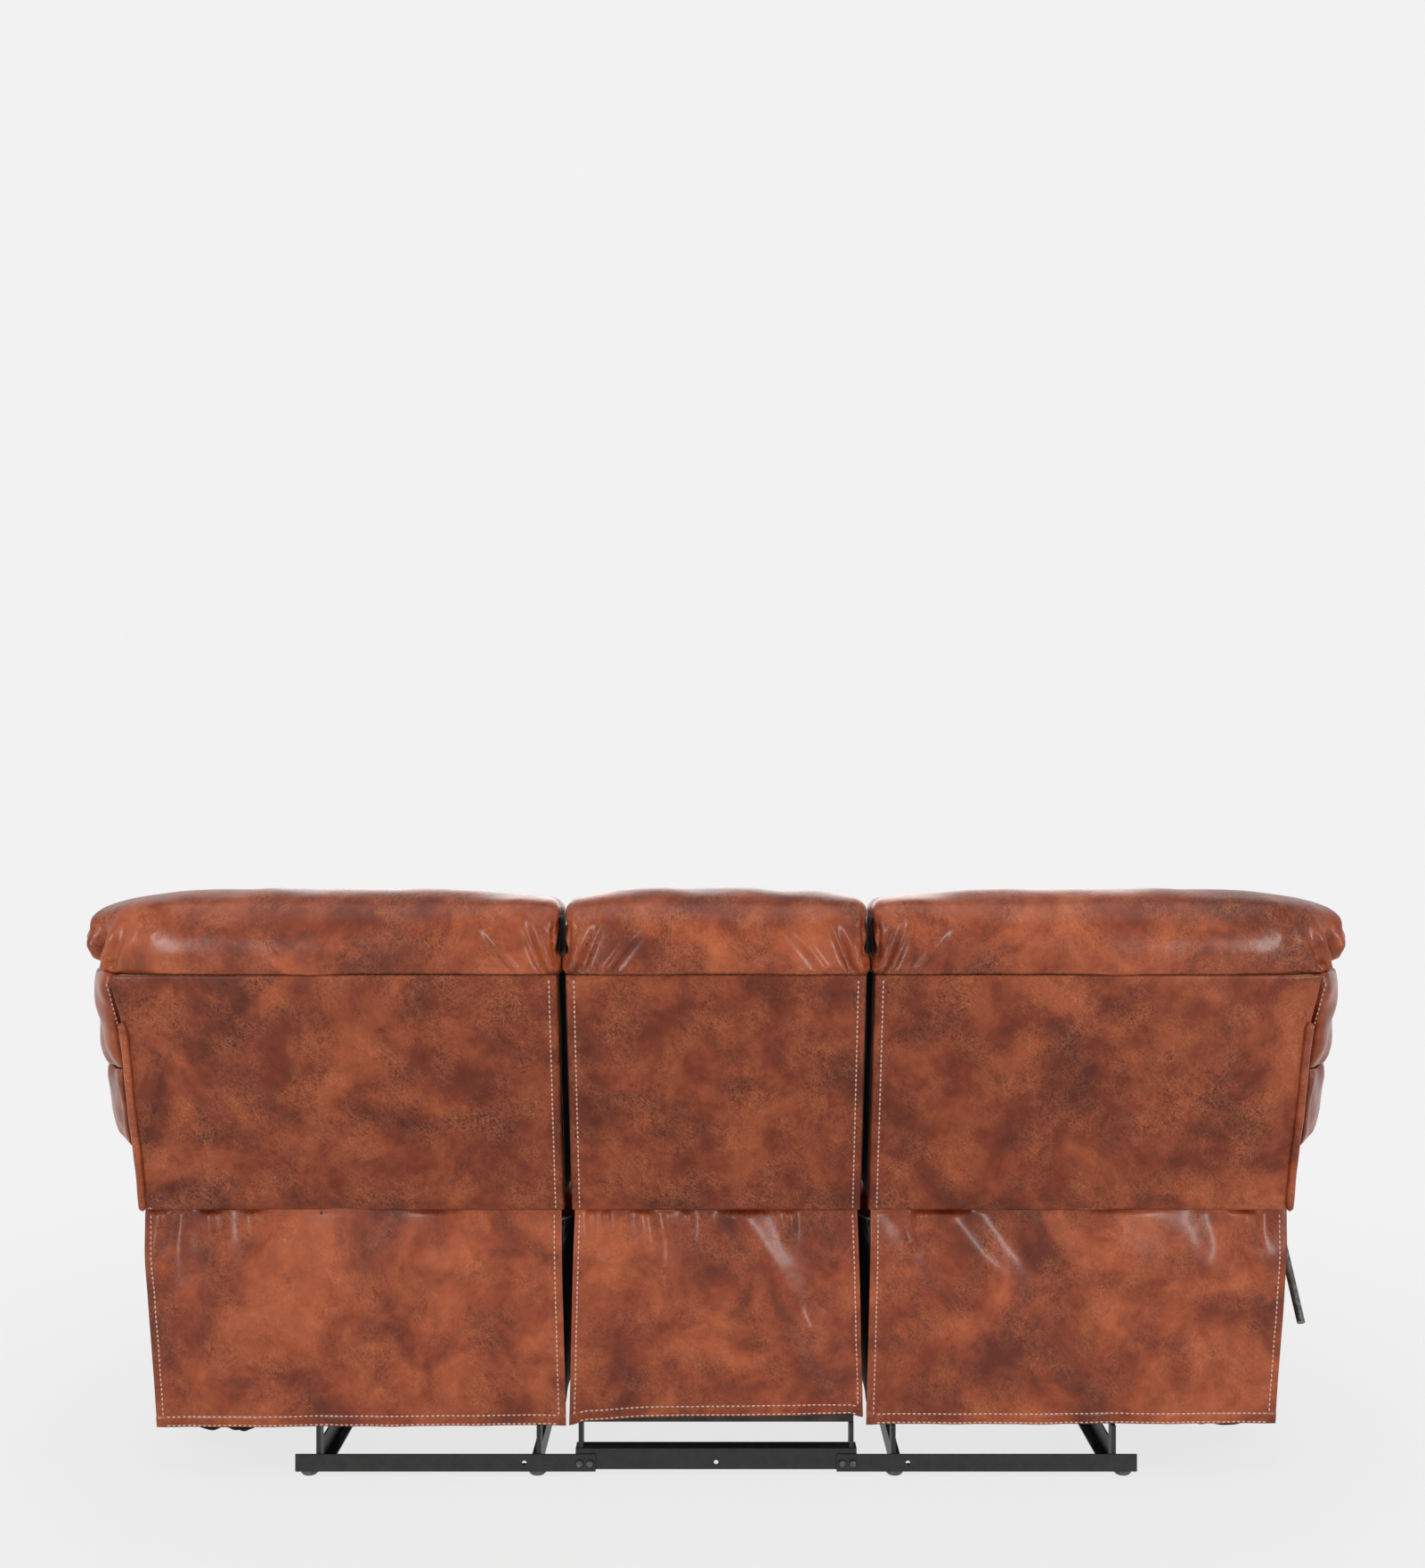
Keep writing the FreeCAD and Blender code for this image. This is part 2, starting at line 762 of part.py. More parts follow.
def wing_pad(z0, z1):
    # The side of a back pillow that stands over the arm and round the frame
    front = back_pad(arm_inner + 2 * soft_gap, wing_outer, z0, z1, wing_crown)
    low = z0 + 2 * soft_gap
    high = z1 - 2 * soft_gap
    lap = frame_depth + wing_lap + wing_sweep / 2
    corners = [(rear_face(z0) - wing_setback, low), (rear_face(z0) - lap, low),
               (rear_face(z1) - lap, high), (rear_face(z1) - wing_setback, high)]
    inner = profile(back_outer_top + soft_gap, corners, [0, 0, 0, wing_bulge])
    middle = [(y - back * wing_sweep / 2, z) for (y, z), back in zip(corners, (1, 0, 0, 1))]
    swept = []
    for (y, z), back, rise in zip(corners, (1, 0, 0, 1), (1, 1, -1, -1)):
        swept.append((y - back * wing_sweep, z + rise * wing_end_setback))
    x1 = wing_outer - 2 * soft_gap
    x_middle = (back_outer_top + wing_outer) / 2
    wires = [inner, profile(x_middle, middle, [0, 0, 0, wing_bulge]),
             profile(x1, swept, [0, 0, 0, wing_bulge / 2])]
    return fused([front, Part.makeLoft(wires, True, True)])


def headrest_roll(x0, x1):
    low = seam_z + free_gap
    rear = rear_face(low)
    front = rear - back_depth
    corners = [(rear - soft_gap, low), (front - roll_overhang, low),
               (front + roll_front_shoulder[0], sofa_top_z - roll_front_shoulder[1]),
               (rear - roll_rear_shoulder[0], sofa_top_z - roll_rear_shoulder[1])]
    sweep = roll_sweep if x1 > centre_half else 0
    return pillow(x0, x1, corners, [0, roll_nose, roll_crown, roll_bulge], roll_draw, sweep)


def back_brackets():
    top = back_bottom_z + frame_lift - sheet
    rear = skirt_top_y - skirt_thickness - cover_wall
    corner = back_bracket_corner
    front = rear - back_bracket_top
    eyes = [(back_pivot_y, back_pivot_z, back_bracket_eye),
            (rear - corner, top - corner, corner), (front, top - corner, corner)]
    plate = link(eyes, 3)
    x0 = layer_start + 3 * layer_pitch
    flange = block(x0, x0 + back_bracket_flange, front, rear, top, top + sheet)
    plate = plate.fuse(flange)
    plate = plate.fuse(rivet(back_pivot_y, back_pivot_z, back_pin, back_pin_head,
                             rivet_height, 3, 2))
    return both_layers(plate)


# Skirts: one thin hanging sheet whose folds grow towards the hem

def skirt_wire(x0, x1, y, z, wave):
    pitch = (x1 - x0) / skirt_folds
    rear = [Vector(x0 + pitch * index, y, z) for index in range(skirt_folds + 1)]
    front = [point - Vector(0, skirt_thickness, 0) for point in reversed(rear)]
    edges = []
    for row, offset in ((rear, 0), (front, 1)):
        for index in range(skirt_folds):
            fold = index if offset == 0 else skirt_folds - 1 - index
            sign = wave if fold % 2 == 0 else -wave
            middle = (row[index] + row[index + 1]) * 0.5 + Vector(0, sign, 0)
            edges.append(Part.Arc(row[index], middle, row[index + 1]).toShape())
        ends = (rear[-1], front[0]) if offset == 0 else (front[-1], rear[0])
        edges.append(Part.LineSegment(*ends).toShape())
    return Part.Wire(edges)


def skirt(x0_top, x1_top, x0_bottom, x1_bottom):
    top_z = back_bottom_z + frame_lift - free_gap
    top = skirt_wire(x0_top, x1_top, skirt_top_y, top_z, skirt_top_wave)
    hem = skirt_wire(x0_bottom, x1_bottom, skirt_bottom_y, skirt_bottom_z, skirt_bottom_wave)
    return Part.makeLoft([hem, top], True, True)


# Arms

def lever_bore(radius):
    return rod_x(lever_y, lever_z, radius, arm_inner - board, arm_outer_top + board)


def arm_boards():
    x0 = arm_inner + arm_padding
    x1 = arm_outer_bottom - cover_wall
    y0 = arm_front + arm_padding
    y1 = arm_rear - arm_padding
    top = arm_cover_top
    inner = block(x0, x0 + board, y0, y1, arm_bottom, top)
    outer = block(x1 - board, x1, y0, y1, arm_bottom, top)
    ends = []
    for y in (y0, y1 - board):
        ends.append(block(x0 + board, x1 - board, y, y + board, arm_bottom, top))
    bore = lever_bore(tube_radius + pin_fit)
    return [inner.cut(bore), outer.cut(bore)] + ends


def arm_cover():
    outline = [(arm_inner, arm_bottom), (arm_outer_bottom, arm_bottom),
               (arm_outer_top, arm_cover_top), (arm_inner, arm_cover_top)]
    wrap = prism_y(outline, arm_front, arm_rear)
    hollow = block(arm_inner + arm_padding, arm_outer_bottom - cover_wall,
                   arm_front + arm_padding, arm_rear - arm_padding,
                   arm_bottom - board, arm_cover_top + board)
    return wrap.cut(hollow).cut(lever_bore(tube_radius + cover_bore_gap))


def arm_pad():
    top = arm_top - arm_pad_edge
    corners = [(arm_rear, arm_cover_top), (arm_front, arm_cover_top),
               (arm_front, top), (arm_rear, top)]
    bows = [0, arm_pad_nose, arm_pad_crown, arm_pad_tail]
    return pillow(arm_inner + soft_gap, arm_outer_top, corners, bows, arm_pad_draw)


def arm_brackets():
    # Bars from the side members' outer faces out under the arm boards
    bars = []
    for y in outrigger_ys:
        bars.append(block(2 * mechanism_centre - layer_start, arm_outer_bottom - cover_wall,
                          y, y + outrigger_width, arm_bottom - outrigger, arm_bottom))
    return bars


# Release lever and its drive tube

def drive_tube():
    tube = rod_x(lever_y, lever_z, tube_radius, tube_inner_x, lever_face_x)
    tube = tube.cut(rod_x(lever_y, lever_z, tube_radius - tube_wall,
                          tube_inner_x - sheet, lever_face_x + sheet))
    crank_end = polar((lever_y, lever_z), crank_length, crank_angle)
    plate_eyes = [(crank_end[0], crank_end[1], crank_eye),
                  (lever_y, lever_z, tube_radius + crank_rim)]
    outline = Part.Face(eye_outline(plate_eyes, tube_inner_x - sheet))
    plate = outline.extrude(Vector(sheet, 0, 0))
    plate = plate.cut(rod_x(crank_end[0], crank_end[1], link_pin, tube_inner_x - 2 * sheet,
                            tube_inner_x + sheet))
    return fused([tube, plate])


def lever(angle):
    x0 = lever_face_x
    rim_x = x0 + lever_hub_width - lever_hub_chamfer
    hub = rod_x(lever_y, lever_z, lever_hub_radius, x0, rim_x)
    cap = Part.makeCone(lever_hub_radius, lever_hub_radius - lever_hub_chamfer,
                        lever_hub_chamfer, Vector(rim_x, lever_y, lever_z), Vector(1, 0, 0))
    rod_x0 = x0 + lever_hub_width / 2
    turn = math.radians(angle)
    along = Vector(0, -math.cos(turn), math.sin(turn))
    rod = Part.makeCylinder(lever_rod_radius, lever_rod_length,
                            Vector(rod_x0, lever_y, lever_z), along)
    return fused([hub, cap, rod])


# Centre seat, fixed to the base

def centre_box():
    side = block(box_half - board, box_half, box_front, box_rear, box_bottom, plate_top)
    ends = []
    for y in (box_front, box_rear - board):
        ends.append(block(-box_half + board, box_half - board, y, y + board,
                          box_bottom, plate_top))
    return both_sides(side) + ends


def centre_posts():
    shelf = rail_top + centre_rail_rise
    rear = block(box_half - post_width, box_half, rear_rail_y - 2 * sheet - post_depth,
                 rear_rail_y - 2 * sheet, shelf, box_bottom)
    front = block(box_half - post_width, box_half, front_rail_y + sheet,
                  front_rail_y + sheet + post_depth, flange_top, box_bottom)
    return both_sides(rear) + both_sides(front)


def centre_front_panel():
    low = pad_bottom - centre_pad_drop
    half = centre_half - centre_pad_setback
    corners = [(box_front, low), (pad_face, low), (pad_face, pad_top), (box_front, pad_top)]
    bows = [pad_edge_bulge, pad_bulge, pad_edge_bulge, 0]
    return pillow(-half, half, corners, bows, pad_end_draw)


def build_base():
    export("cross_rails", both_sides(rear_rail()) + [front_rail()])
    export("centre_rail", [centre_rail()])
    export("rail_bolts", [bolt for x in bolt_xs() for bolt in both_sides(rail_bolt(x))])
    export("glide_feet", glide_feet())
    member = both_layers(side_member())
    export("side_members", member + [mirrored(shape) for shape in member])
    export("centre_posts", centre_posts())
    bars = arm_brackets()
    export("arm_brackets", bars + [mirrored(bar) for bar in bars])


def build_arms():
    boards = arm_boards()
    export("arm_frames", boards + [mirrored(shape) for shape in boards])
    export_pair("arm_cover", [arm_cover()])
    export_pair("arm_pad", [arm_pad()])


def build_centre():
    half = centre_half
    wires = springs(-box_half + board, box_half - board, box_front + board, box_rear - board)
    export("centre_seat_box", centre_box() + wires)
    export("centre_seat_cushion", [seat_cushion(-half + 2 * soft_gap, half - 2 * soft_gap)])
    export("centre_front_panel", [centre_front_panel()])
    export("centre_back_frame", back_frame(-half, half, 3) + frame_feet(-half))
    export("centre_back_panel", [back_panel(-half, half, half)])
    export("centre_back_pads", back_pads(-half, half))
    export("centre_headrest_roll", [headrest_roll(-half, half)])
    export("centre_skirt", [skirt(-centre_skirt_top, centre_skirt_top,
                                  -centre_skirt_bottom, centre_skirt_bottom)])


def build_carriage():
    export_pair("front_carrier", carriers(front_carrier_y, rivet_height))
    export_pair("rear_carrier", carriers(rear_carrier_y, rivet_height))
    export_pair("seat_frame", both_layers(side_plate()) + seat_tubes())
    x0 = plate_inner_x()
    x1 = 2 * mechanism_centre - x0
    export_pair("seat_springs", springs(x0 + spring_margin, x1 - spring_margin,
                                        front_tube_y + seat_tube, rear_tube_y))
    export_pair("seat_cushion", [seat_cushion(seat_inner, seat_outer)])


def build_footrest():
    export_pair("main_links", main_links())
    export_pair("guide_links", guide_links())
    export_pair("upper_links", upper_links())
    export_pair("stay_links", stay_links())
    export_pair("footrest_frame", footrest_brackets() + [footrest_board()])
    pad = footrest_pad(seat_inner + 2 * soft_gap, seat_outer - 2 * soft_gap)
    export_pair("footrest_pad", [pad])


def build_backs():
    x0 = unit_inner
    export_pair("back_brackets", back_brackets())
    export_pair("back_frame", back_frame(x0, back_outer_bottom, 4))
    export_pair("back_panel", [back_panel(x0, back_outer_bottom, back_outer_top)])
    lower, upper = back_pads(x0, arm_inner - soft_gap)
    wing_low = arm_top + wing_foot
    export_pair("back_lower_pad", [lower, wing_pad(wing_low, tier_z - tier_gap / 2)])
    export_pair("back_upper_pad", [upper, wing_pad(tier_z + tier_gap / 2, seam_z - tier_gap / 2)])
    export_pair("headrest_roll", [headrest_roll(x0, roll_outer)])
    export_pair("skirt", [skirt(skirt_inner_top, skirt_outer_top,
                                skirt_inner_bottom, skirt_outer_bottom)])


def build_levers():
    export_pair("drive_tube", [drive_tube()])
    export("left_lever", [lever(left_lever_angle)])
    export("right_lever", [mirrored(lever(right_lever_angle))])


os.makedirs("parts", exist_ok=True)
build_base()
build_arms()
build_centre()
build_carriage()
build_footrest()
build_backs()
build_levers()
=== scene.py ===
import math

import bpy
import numpy as np
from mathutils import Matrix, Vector


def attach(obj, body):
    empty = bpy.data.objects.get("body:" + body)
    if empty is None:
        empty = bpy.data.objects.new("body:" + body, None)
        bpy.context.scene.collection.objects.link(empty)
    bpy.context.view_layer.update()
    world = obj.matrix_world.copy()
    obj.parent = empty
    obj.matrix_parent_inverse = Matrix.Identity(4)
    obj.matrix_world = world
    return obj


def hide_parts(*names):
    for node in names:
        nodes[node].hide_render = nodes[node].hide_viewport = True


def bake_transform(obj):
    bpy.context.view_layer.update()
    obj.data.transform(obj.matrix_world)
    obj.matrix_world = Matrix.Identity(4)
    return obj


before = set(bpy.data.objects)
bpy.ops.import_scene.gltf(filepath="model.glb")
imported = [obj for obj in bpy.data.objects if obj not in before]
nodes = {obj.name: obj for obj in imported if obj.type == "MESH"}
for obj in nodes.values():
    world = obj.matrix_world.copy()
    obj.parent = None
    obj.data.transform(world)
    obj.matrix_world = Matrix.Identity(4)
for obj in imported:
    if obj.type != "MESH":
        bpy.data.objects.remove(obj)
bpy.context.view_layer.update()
scene = bpy.context.scene
print("Frame loaded with", len(nodes), "nodes")

# Sizes shared by several pieces, in metres
sofa = {
    "leanSlope": math.tan(math.radians(16.1)),
    "panelBottom": 0.476,
    "panelRear": 0.340,
    "seam": 0.892,
    "top": 1.034,
    "depth": 0.235,
    "frameDepth": 0.045,
    "tier": 0.727,
    "centreHalf": 0.247,
    "inner": 0.261,
    "outerLow": 0.985,
    "outerHigh": 0.995,
    "rollOuter": 1.046,
    "armInner": 0.755,
    "armTop": 0.576,
}


def rearFace(z):
    # The leaning plane of the rear panels: depth grows with height
    return sofa["panelRear"] + (z - sofa["panelBottom"]) * sofa["leanSlope"]


# Materials

def newMaterial(name):
    material = bpy.data.materials.new(name)
    material.use_nodes = True
    tree = material.node_tree
    return material, tree.nodes, tree.links, tree.nodes["Principled BSDF"]


def setSockets(node, links, values):
    # A value that is another node's output is linked, any other is set on the socket itself
    for socket, value in values.items():
        if isinstance(value, bpy.types.NodeSocket):
            links.new(value, node.inputs[socket])
        else:
            node.inputs[socket].default_value = value


def ramp(n, links, factor, stops):
    # A colour ramp from a list of (place, colour)
    node = n.new("ShaderNodeValToRGB")
    elements = node.color_ramp.elements
    while len(elements) < len(stops):
        elements.new(0.5)
    for element, (place, colour) in zip(elements, stops):
        element.position = place
        element.color = (*colour, 1)
    links.new(factor, node.inputs["Fac"])
    return node.outputs["Color"]


def grey(level):
    return (level, level, level)


def noise(n, links, place, scale, detail=4.0, roughness=0.55, distortion=0.0):
    node = n.new("ShaderNodeTexNoise")
    setSockets(node, links, {"Vector": place, "Scale": scale, "Detail": detail,
                             "Roughness": roughness, "Distortion": distortion})
    return node.outputs["Fac"]


def mixColour(n, links, kind, factor, first, second):
    node = n.new("ShaderNodeMix")
    node.data_type = "RGBA"
    node.blend_type = kind
    setSockets(node, links, {0: factor, 6: first, 7: second})
    return node.outputs[2]


def between(n, links, value, low, high):
    # Carries a value from 0..1 to low..high
    node = n.new("ShaderNodeMapRange")
    setSockets(node, links, {"Value": value, "To Min": low, "To Max": high})
    return node.outputs["Result"]


def relief(n, links, height, strength, distance, under=None):
    # A bump of the given height field, laid over another bump's normal if there is one
    node = n.new("ShaderNodeBump")
    setSockets(node, links, {"Height": height, "Strength": strength, "Distance": distance})
    if under is not None:
        links.new(under, node.inputs["Normal"])
    return node.outputs["Normal"]


def objectCoordinates(n, links, location=(0, 0, 0), scale=(1, 1, 1)):
    texture = n.new("ShaderNodeTexCoord")
    mapping = n.new("ShaderNodeMapping")
    setSockets(mapping, links, {"Vector": texture.outputs["Object"], "Location": location, "Scale": scale})
    return mapping.outputs["Vector"]


leatherLook = {
    "dark": (0.112, 0.0155, 0.0040),
    "middle": (0.222, 0.0365, 0.0100),
    "light": (0.400, 0.090, 0.0300),
    "fibre": (0.60, 0.200, 0.080),
    "toneStops": (0.36, 0.49, 0.64),
    "cloudScale": 7.5, "cloudDetail": 6.0, "cloudRoughness": 0.62, "cloudWarp": 0.45,
    "fibreScale": 26.0, "fibreWarp": 1.4, "fibreBand": (0.482, 0.503, 0.524),
    "fibreTurns": ((0.5, 0.17), (-0.8, 0.19), (1.35, 0.18), (2.2, 0.21)),
    "patchScale": 16.0, "patchStops": (0.38, 0.68), "patchShares": (0.06, 0.60),
    "mottleScale": 48.0, "mottleStops": (0.30, 0.70),
    "mottleTones": ((0.84, 0.80, 0.78), (1.10, 1.10, 1.10)),
    "glossScale": 22.0, "roughness": 0.32, "glossSpread": (-0.07, 0.10),
    "creaseScale": 55.0, "creaseDepth": 0.004, "creaseStrength": 0.16,
    "grainScale": 620.0, "grainDepth": 0.0006, "grainStrength": 0.10,
    "specular": 0.26, "coat": 0.22, "coatRoughness": 0.22,
}


def leatherMaterial(name, look, shift):
    # Clouds of dark and light brown, crossed by short pale fibres, under a glossy grained film
    material, n, links, shader = newMaterial(name)
    place = objectCoordinates(n, links, shift)
    clouds = noise(n, links, place, look["cloudScale"], look["cloudDetail"], look["cloudRoughness"],
                   look["cloudWarp"])
    tone = ramp(n, links, clouds, list(zip(look["toneStops"], (look["dark"], look["middle"], look["light"]))))
    # Fibres are thin bands where noises, stretched in four directions, cross their middle value
    fibreMask = None
    for turn, squeeze in look["fibreTurns"]:
        turned = n.new("ShaderNodeMapping")
        turned.vector_type = "TEXTURE"
        setSockets(turned, links, {"Vector": place, "Rotation": (0.3 * turn, turn, 0),
                                   "Scale": (1, 1, squeeze)})
        strands = noise(n, links, turned.outputs["Vector"], look["fibreScale"], 3.0, 0.60, look["fibreWarp"])
        band = ramp(n, links, strands, list(zip(look["fibreBand"], (grey(0), grey(1), grey(0)))))
        if fibreMask is None:
            fibreMask = band
        else:
            fibreMask = mixColour(n, links, "LIGHTEN", 1.0, fibreMask, band)
    patch = ramp(n, links, noise(n, links, place, look["patchScale"], 2.0, 0.5),
                 [(stop, grey(share)) for stop, share in zip(look["patchStops"], look["patchShares"])])
    fibreFactor = mixColour(n, links, "MULTIPLY", 1.0, fibreMask, patch)
    colour = mixColour(n, links, "MIX", fibreFactor, tone, (*look["fibre"], 1))
    mottle = ramp(n, links, noise(n, links, place, look["mottleScale"], 3.0, 0.6),
                  list(zip(look["mottleStops"], look["mottleTones"])))
    low, high = look["glossSpread"]
    gloss = between(n, links, noise(n, links, place, look["glossScale"], 3.0),
                    look["roughness"] + low, look["roughness"] + high)
    # Relief: soft wrinkles under a fine pebbled grain
    wrinkle = relief(n, links, noise(n, links, place, look["creaseScale"], 4.0, 0.6, 0.8),
                     look["creaseStrength"], look["creaseDepth"])
    cells = n.new("ShaderNodeTexVoronoi")
    cells.feature = "SMOOTH_F1"
    setSockets(cells, links, {"Vector": place, "Scale": look["grainScale"]})
    grain = relief(n, links, cells.outputs["Distance"], look["grainStrength"], look["grainDepth"], wrinkle)
    setSockets(shader, links, {
        "Base Color": mixColour(n, links, "MULTIPLY", 1.0, colour, mottle), "Roughness": gloss,
        "Normal": grain, "Specular IOR Level": look["specular"], "Coat Weight": look["coat"],
        "Coat Roughness": look["coatRoughness"]})
    return material


leather = leatherMaterial("Mottled leather", leatherLook, (0, 0, 0))
# The flat rear panels get a duller copy of the leather whose tones are painted darker as shade, so they stand
# darker than the rolls and skirts, which catch a sheen
shadedPanelLook = dict(leatherLook, dark=(0.082, 0.0105, 0.0028), middle=(0.162, 0.0250, 0.0068),
                 light=(0.305, 0.066, 0.0215), roughness=0.37, coat=0.08)
shadedPanelLeather = leatherMaterial("Panel leather, painted shade", shadedPanelLook, (0.37, 0.0, 0.21))


threadLook = {"dark": (0.55, 0.34, 0.26), "light": (0.86, 0.62, 0.52), "twistScale": 700.0,
              "roughness": 0.55}


def threadMaterial(look):
    # Pale thread whose twist shows as fine slanted bands
    material, n, links, shader = newMaterial("Pale thread")
    twist = noise(n, links, objectCoordinates(n, links), look["twistScale"], 2.0)
    setSockets(shader, links, {
        "Base Color": ramp(n, links, twist, [(0.35, look["dark"]), (0.65, look["light"])]),
        "Roughness": look["roughness"]})
    return material


thread = threadMaterial(threadLook)


def metalMaterial(name, dark, light, scale, metallic, roughness, scratches):
    # Blotched paint or worn bare steel, with fine scratches in its gloss
    material, n, links, shader = newMaterial(name)
    place = objectCoordinates(n, links)
    blotches = noise(n, links, place, scale, 6.0, 0.65, 0.4)
    setSockets(shader, links, {
        "Base Color": ramp(n, links, blotches, [(0.38, dark), (0.62, light)]),
        "Roughness": between(n, links, noise(n, links, place, scale * 3), roughness - 0.08, roughness + 0.12),
        "Normal": relief(n, links, noise(n, links, place, scale * 9, 3.0), scratches, 0.0005),
        "Metallic": metallic})
    return material


railPaint = metalMaterial("Black rail paint", grey(0.006), (0.014, 0.014, 0.013), 60.0, 0.0, 0.42, 0.12)
linkPaint = metalMaterial("Black link paint", (0.005, 0.005, 0.006), (0.012, 0.012, 0.013),
                          90.0, 0.0, 0.45, 0.1)
boltSteel = metalMaterial("Dark bolt steel", grey(0.06), (0.15, 0.15, 0.145), 160.0, 0.6, 0.40, 0.1)
leverSteel = metalMaterial("Worn lever steel", (0.07, 0.07, 0.068), (0.24, 0.24, 0.23),
                           120.0, 0.75, 0.45, 0.3)
springSteel = metalMaterial("Spring wire", (0.18, 0.18, 0.17), (0.36, 0.36, 0.35), 200.0, 0.9, 0.35, 0.1)
glidePlastic = metalMaterial("Glide plastic", grey(0.05), grey(0.12), 140.0, 0.0, 0.5, 0.15)


def wave(n, links, place, values):
    node = n.new("ShaderNodeTexWave")
    setSockets(node, links, dict(values, Vector=place))
    return node.outputs["Fac"]


boardLook = {"dark": (0.36, 0.22, 0.11), "light": (0.58, 0.40, 0.22), "stretch": (3, 3, 1),
             "rings": {"Scale": 9.0, "Distortion": 6.0, "Detail": 3.0}, "poreScale": 260.0, "roughness": 0.68}


def woodMaterial(look):
    # Rings of a distorted wave run along each board, with pores as a fine streak
    material, n, links, shader = newMaterial("Raw board")
    place = objectCoordinates(n, links, scale=look["stretch"])
    rings = wave(n, links, place, look["rings"])
    setSockets(shader, links, {
        "Base Color": ramp(n, links, rings, [(0.1, look["dark"]), (0.9, look["light"])]),
        "Normal": relief(n, links, noise(n, links, place, look["poreScale"], 3.0), 0.2, 0.0008),
        "Roughness": look["roughness"]})
    return material


rawBoard = woodMaterial(boardLook)

clothLook = {"dark": (0.012, 0.011, 0.010), "light": (0.05, 0.035, 0.028), "blotchScale": 26.0,
             "weaveScale": 300.0, "roughness": 0.75}


def clothMaterial(look):
    # Thin black lining, with the crossing threads of its weave; the same cloth makes the black sheets of
    # painted shade between the backs and beside the seats
    material, n, links, shader = newMaterial("Black lining and shade sheets")
    place = objectCoordinates(n, links)
    blotches = noise(n, links, place, look["blotchScale"])
    weave = wave(n, links, place, {"Scale": look["weaveScale"]})
    setSockets(shader, links, {
        "Base Color": ramp(n, links, blotches, [(0.4, look["dark"]), (0.7, look["light"])]),
        "Normal": relief(n, links, weave, 0.3, 0.0005), "Roughness": look["roughness"]})
    return material


lining = clothMaterial(clothLook)
print("Materials made")


# Mesh helpers

def meshObject(name, points, faces, material):
    # Puts arrays of corners and faces into a mesh and turns it right side out by its volume
    mesh = bpy.data.meshes.new(name)
    mesh.from_pydata(points.tolist(), [], faces)
    mesh.validate()
    piece = bpy.data.objects.new(name, mesh)
    scene.collection.objects.link(piece)
    mesh.calc_loop_triangles()
    corners = np.zeros(len(mesh.loop_triangles) * 3, np.int32)
    mesh.loop_triangles.foreach_get("vertices", corners)
    a, b, c = points[corners].reshape(-1, 3, 3).transpose(1, 0, 2)
    if np.einsum("ij,ij->", a, np.cross(b, c)) < 0:
        mesh.flip_normals()
    mesh.polygons.foreach_set("use_smooth", np.ones(len(mesh.polygons), bool))
    mesh.materials.append(material)
    return piece


def ringFaces(rings, around):
    # Quads between neighbouring rings, and a fan from each end ring to its pole
    first = np.arange(rings - 1)[:, None] * around + np.arange(around)[None, :]
    after = np.arange(rings - 1)[:, None] * around + (np.arange(around)[None, :] + 1) % around
    quads = np.stack([first, after, after + around, first + around], -1).reshape(-1, 4)
    here = np.arange(around)
    following = (here + 1) % around
    low = np.stack([following, here, np.full(around, rings * around)], -1)
    last = (rings - 1) * around
    high = np.stack([last + here, last + following, np.full(around, rings * around + 1)], -1)
    return quads.tolist() + low.tolist() + high.tolist()


def ringPiece(name, rings, material):
    # A closed skin over rings of equal count; the poles are the middles of the end rings
    count, around, _ = rings.shape
    points = np.concatenate([rings.reshape(-1, 3), rings[0].mean(0)[None], rings[-1].mean(0)[None]])
    return meshObject(name, points, ringFaces(count, around), material)


def gridNormals(grid, closed=True):
    # Cross product of the two directions along the grid, unit length
    along = np.gradient(grid, axis=0)
    if closed:
        across = (np.roll(grid, -1, 1) - np.roll(grid, 1, 1)) / 2
    else:
        across = np.gradient(grid, axis=1)
    normal = np.cross(along, across)
    return normal / np.maximum(np.linalg.norm(normal, axis=-1, keepdims=True), 1e-12)


def outwards(grid, normal):
    # Normals of a closed tube made to point away from its middle line
    middle = grid.mean(1, keepdims=True)
    return normal * np.sign(np.einsum("ijk,ijk->", normal, grid - middle))


def smoothRing(ring, rounds):
    # Repeated averaging of each point with its neighbours round the ring, which rounds the corners
    for _ in range(rounds):
        ring = (np.roll(ring, 1, -2) + 2 * ring + np.roll(ring, -1, -2)) / 4
    return ring


def softWaves(points, size, seed, count=14):
    # Sum of sine waves with random directions and a wavelength near size, within -1 and 1
    random = np.random.default_rng(seed)
    total = np.zeros(points.shape[:-1])
    for _ in range(count):
        direction = random.normal(size=3)
        direction /= np.linalg.norm(direction)
        frequency = 2 * math.pi / (size * random.uniform(0.7, 1.6))
        total += np.sin(points @ direction * frequency + random.uniform(0, 2 * math.pi))
    return total / math.sqrt(count)


def creases(x, z, lines):
    # Each line (x0, z0, x1, z1, half width, height) is a ridge or a valley whose height falls off
    # with distance as a bell and fades to nothing at its second end
    total = np.zeros_like(x)
    for x0, z0, x1, z1, width, height in lines:
        dx, dz = x1 - x0, z1 - z0
        share = np.clip(((x - x0) * dx + (z - z0) * dz) / (dx * dx + dz * dz), 0, 1)
        away = np.hypot(x - x0 - share * dx, z - z0 - share * dz)
        total += height * bell(away, width) * (1 - share ** 2 * 0.9)
    return total


def fadeIn(value, start, end):
    # Smooth step from 0 at start to 1 at end
    share = np.clip((value - start) / (end - start), 0, 1)
    return share * share * (3 - 2 * share)


def ripple(value, pitch, phase=0.0):
    # A sine along a value, one wave for each pitch
    return np.sin(value * 2 * math.pi / pitch + phase)


def bell(away, width):
    return np.exp(-(away / width) ** 2)


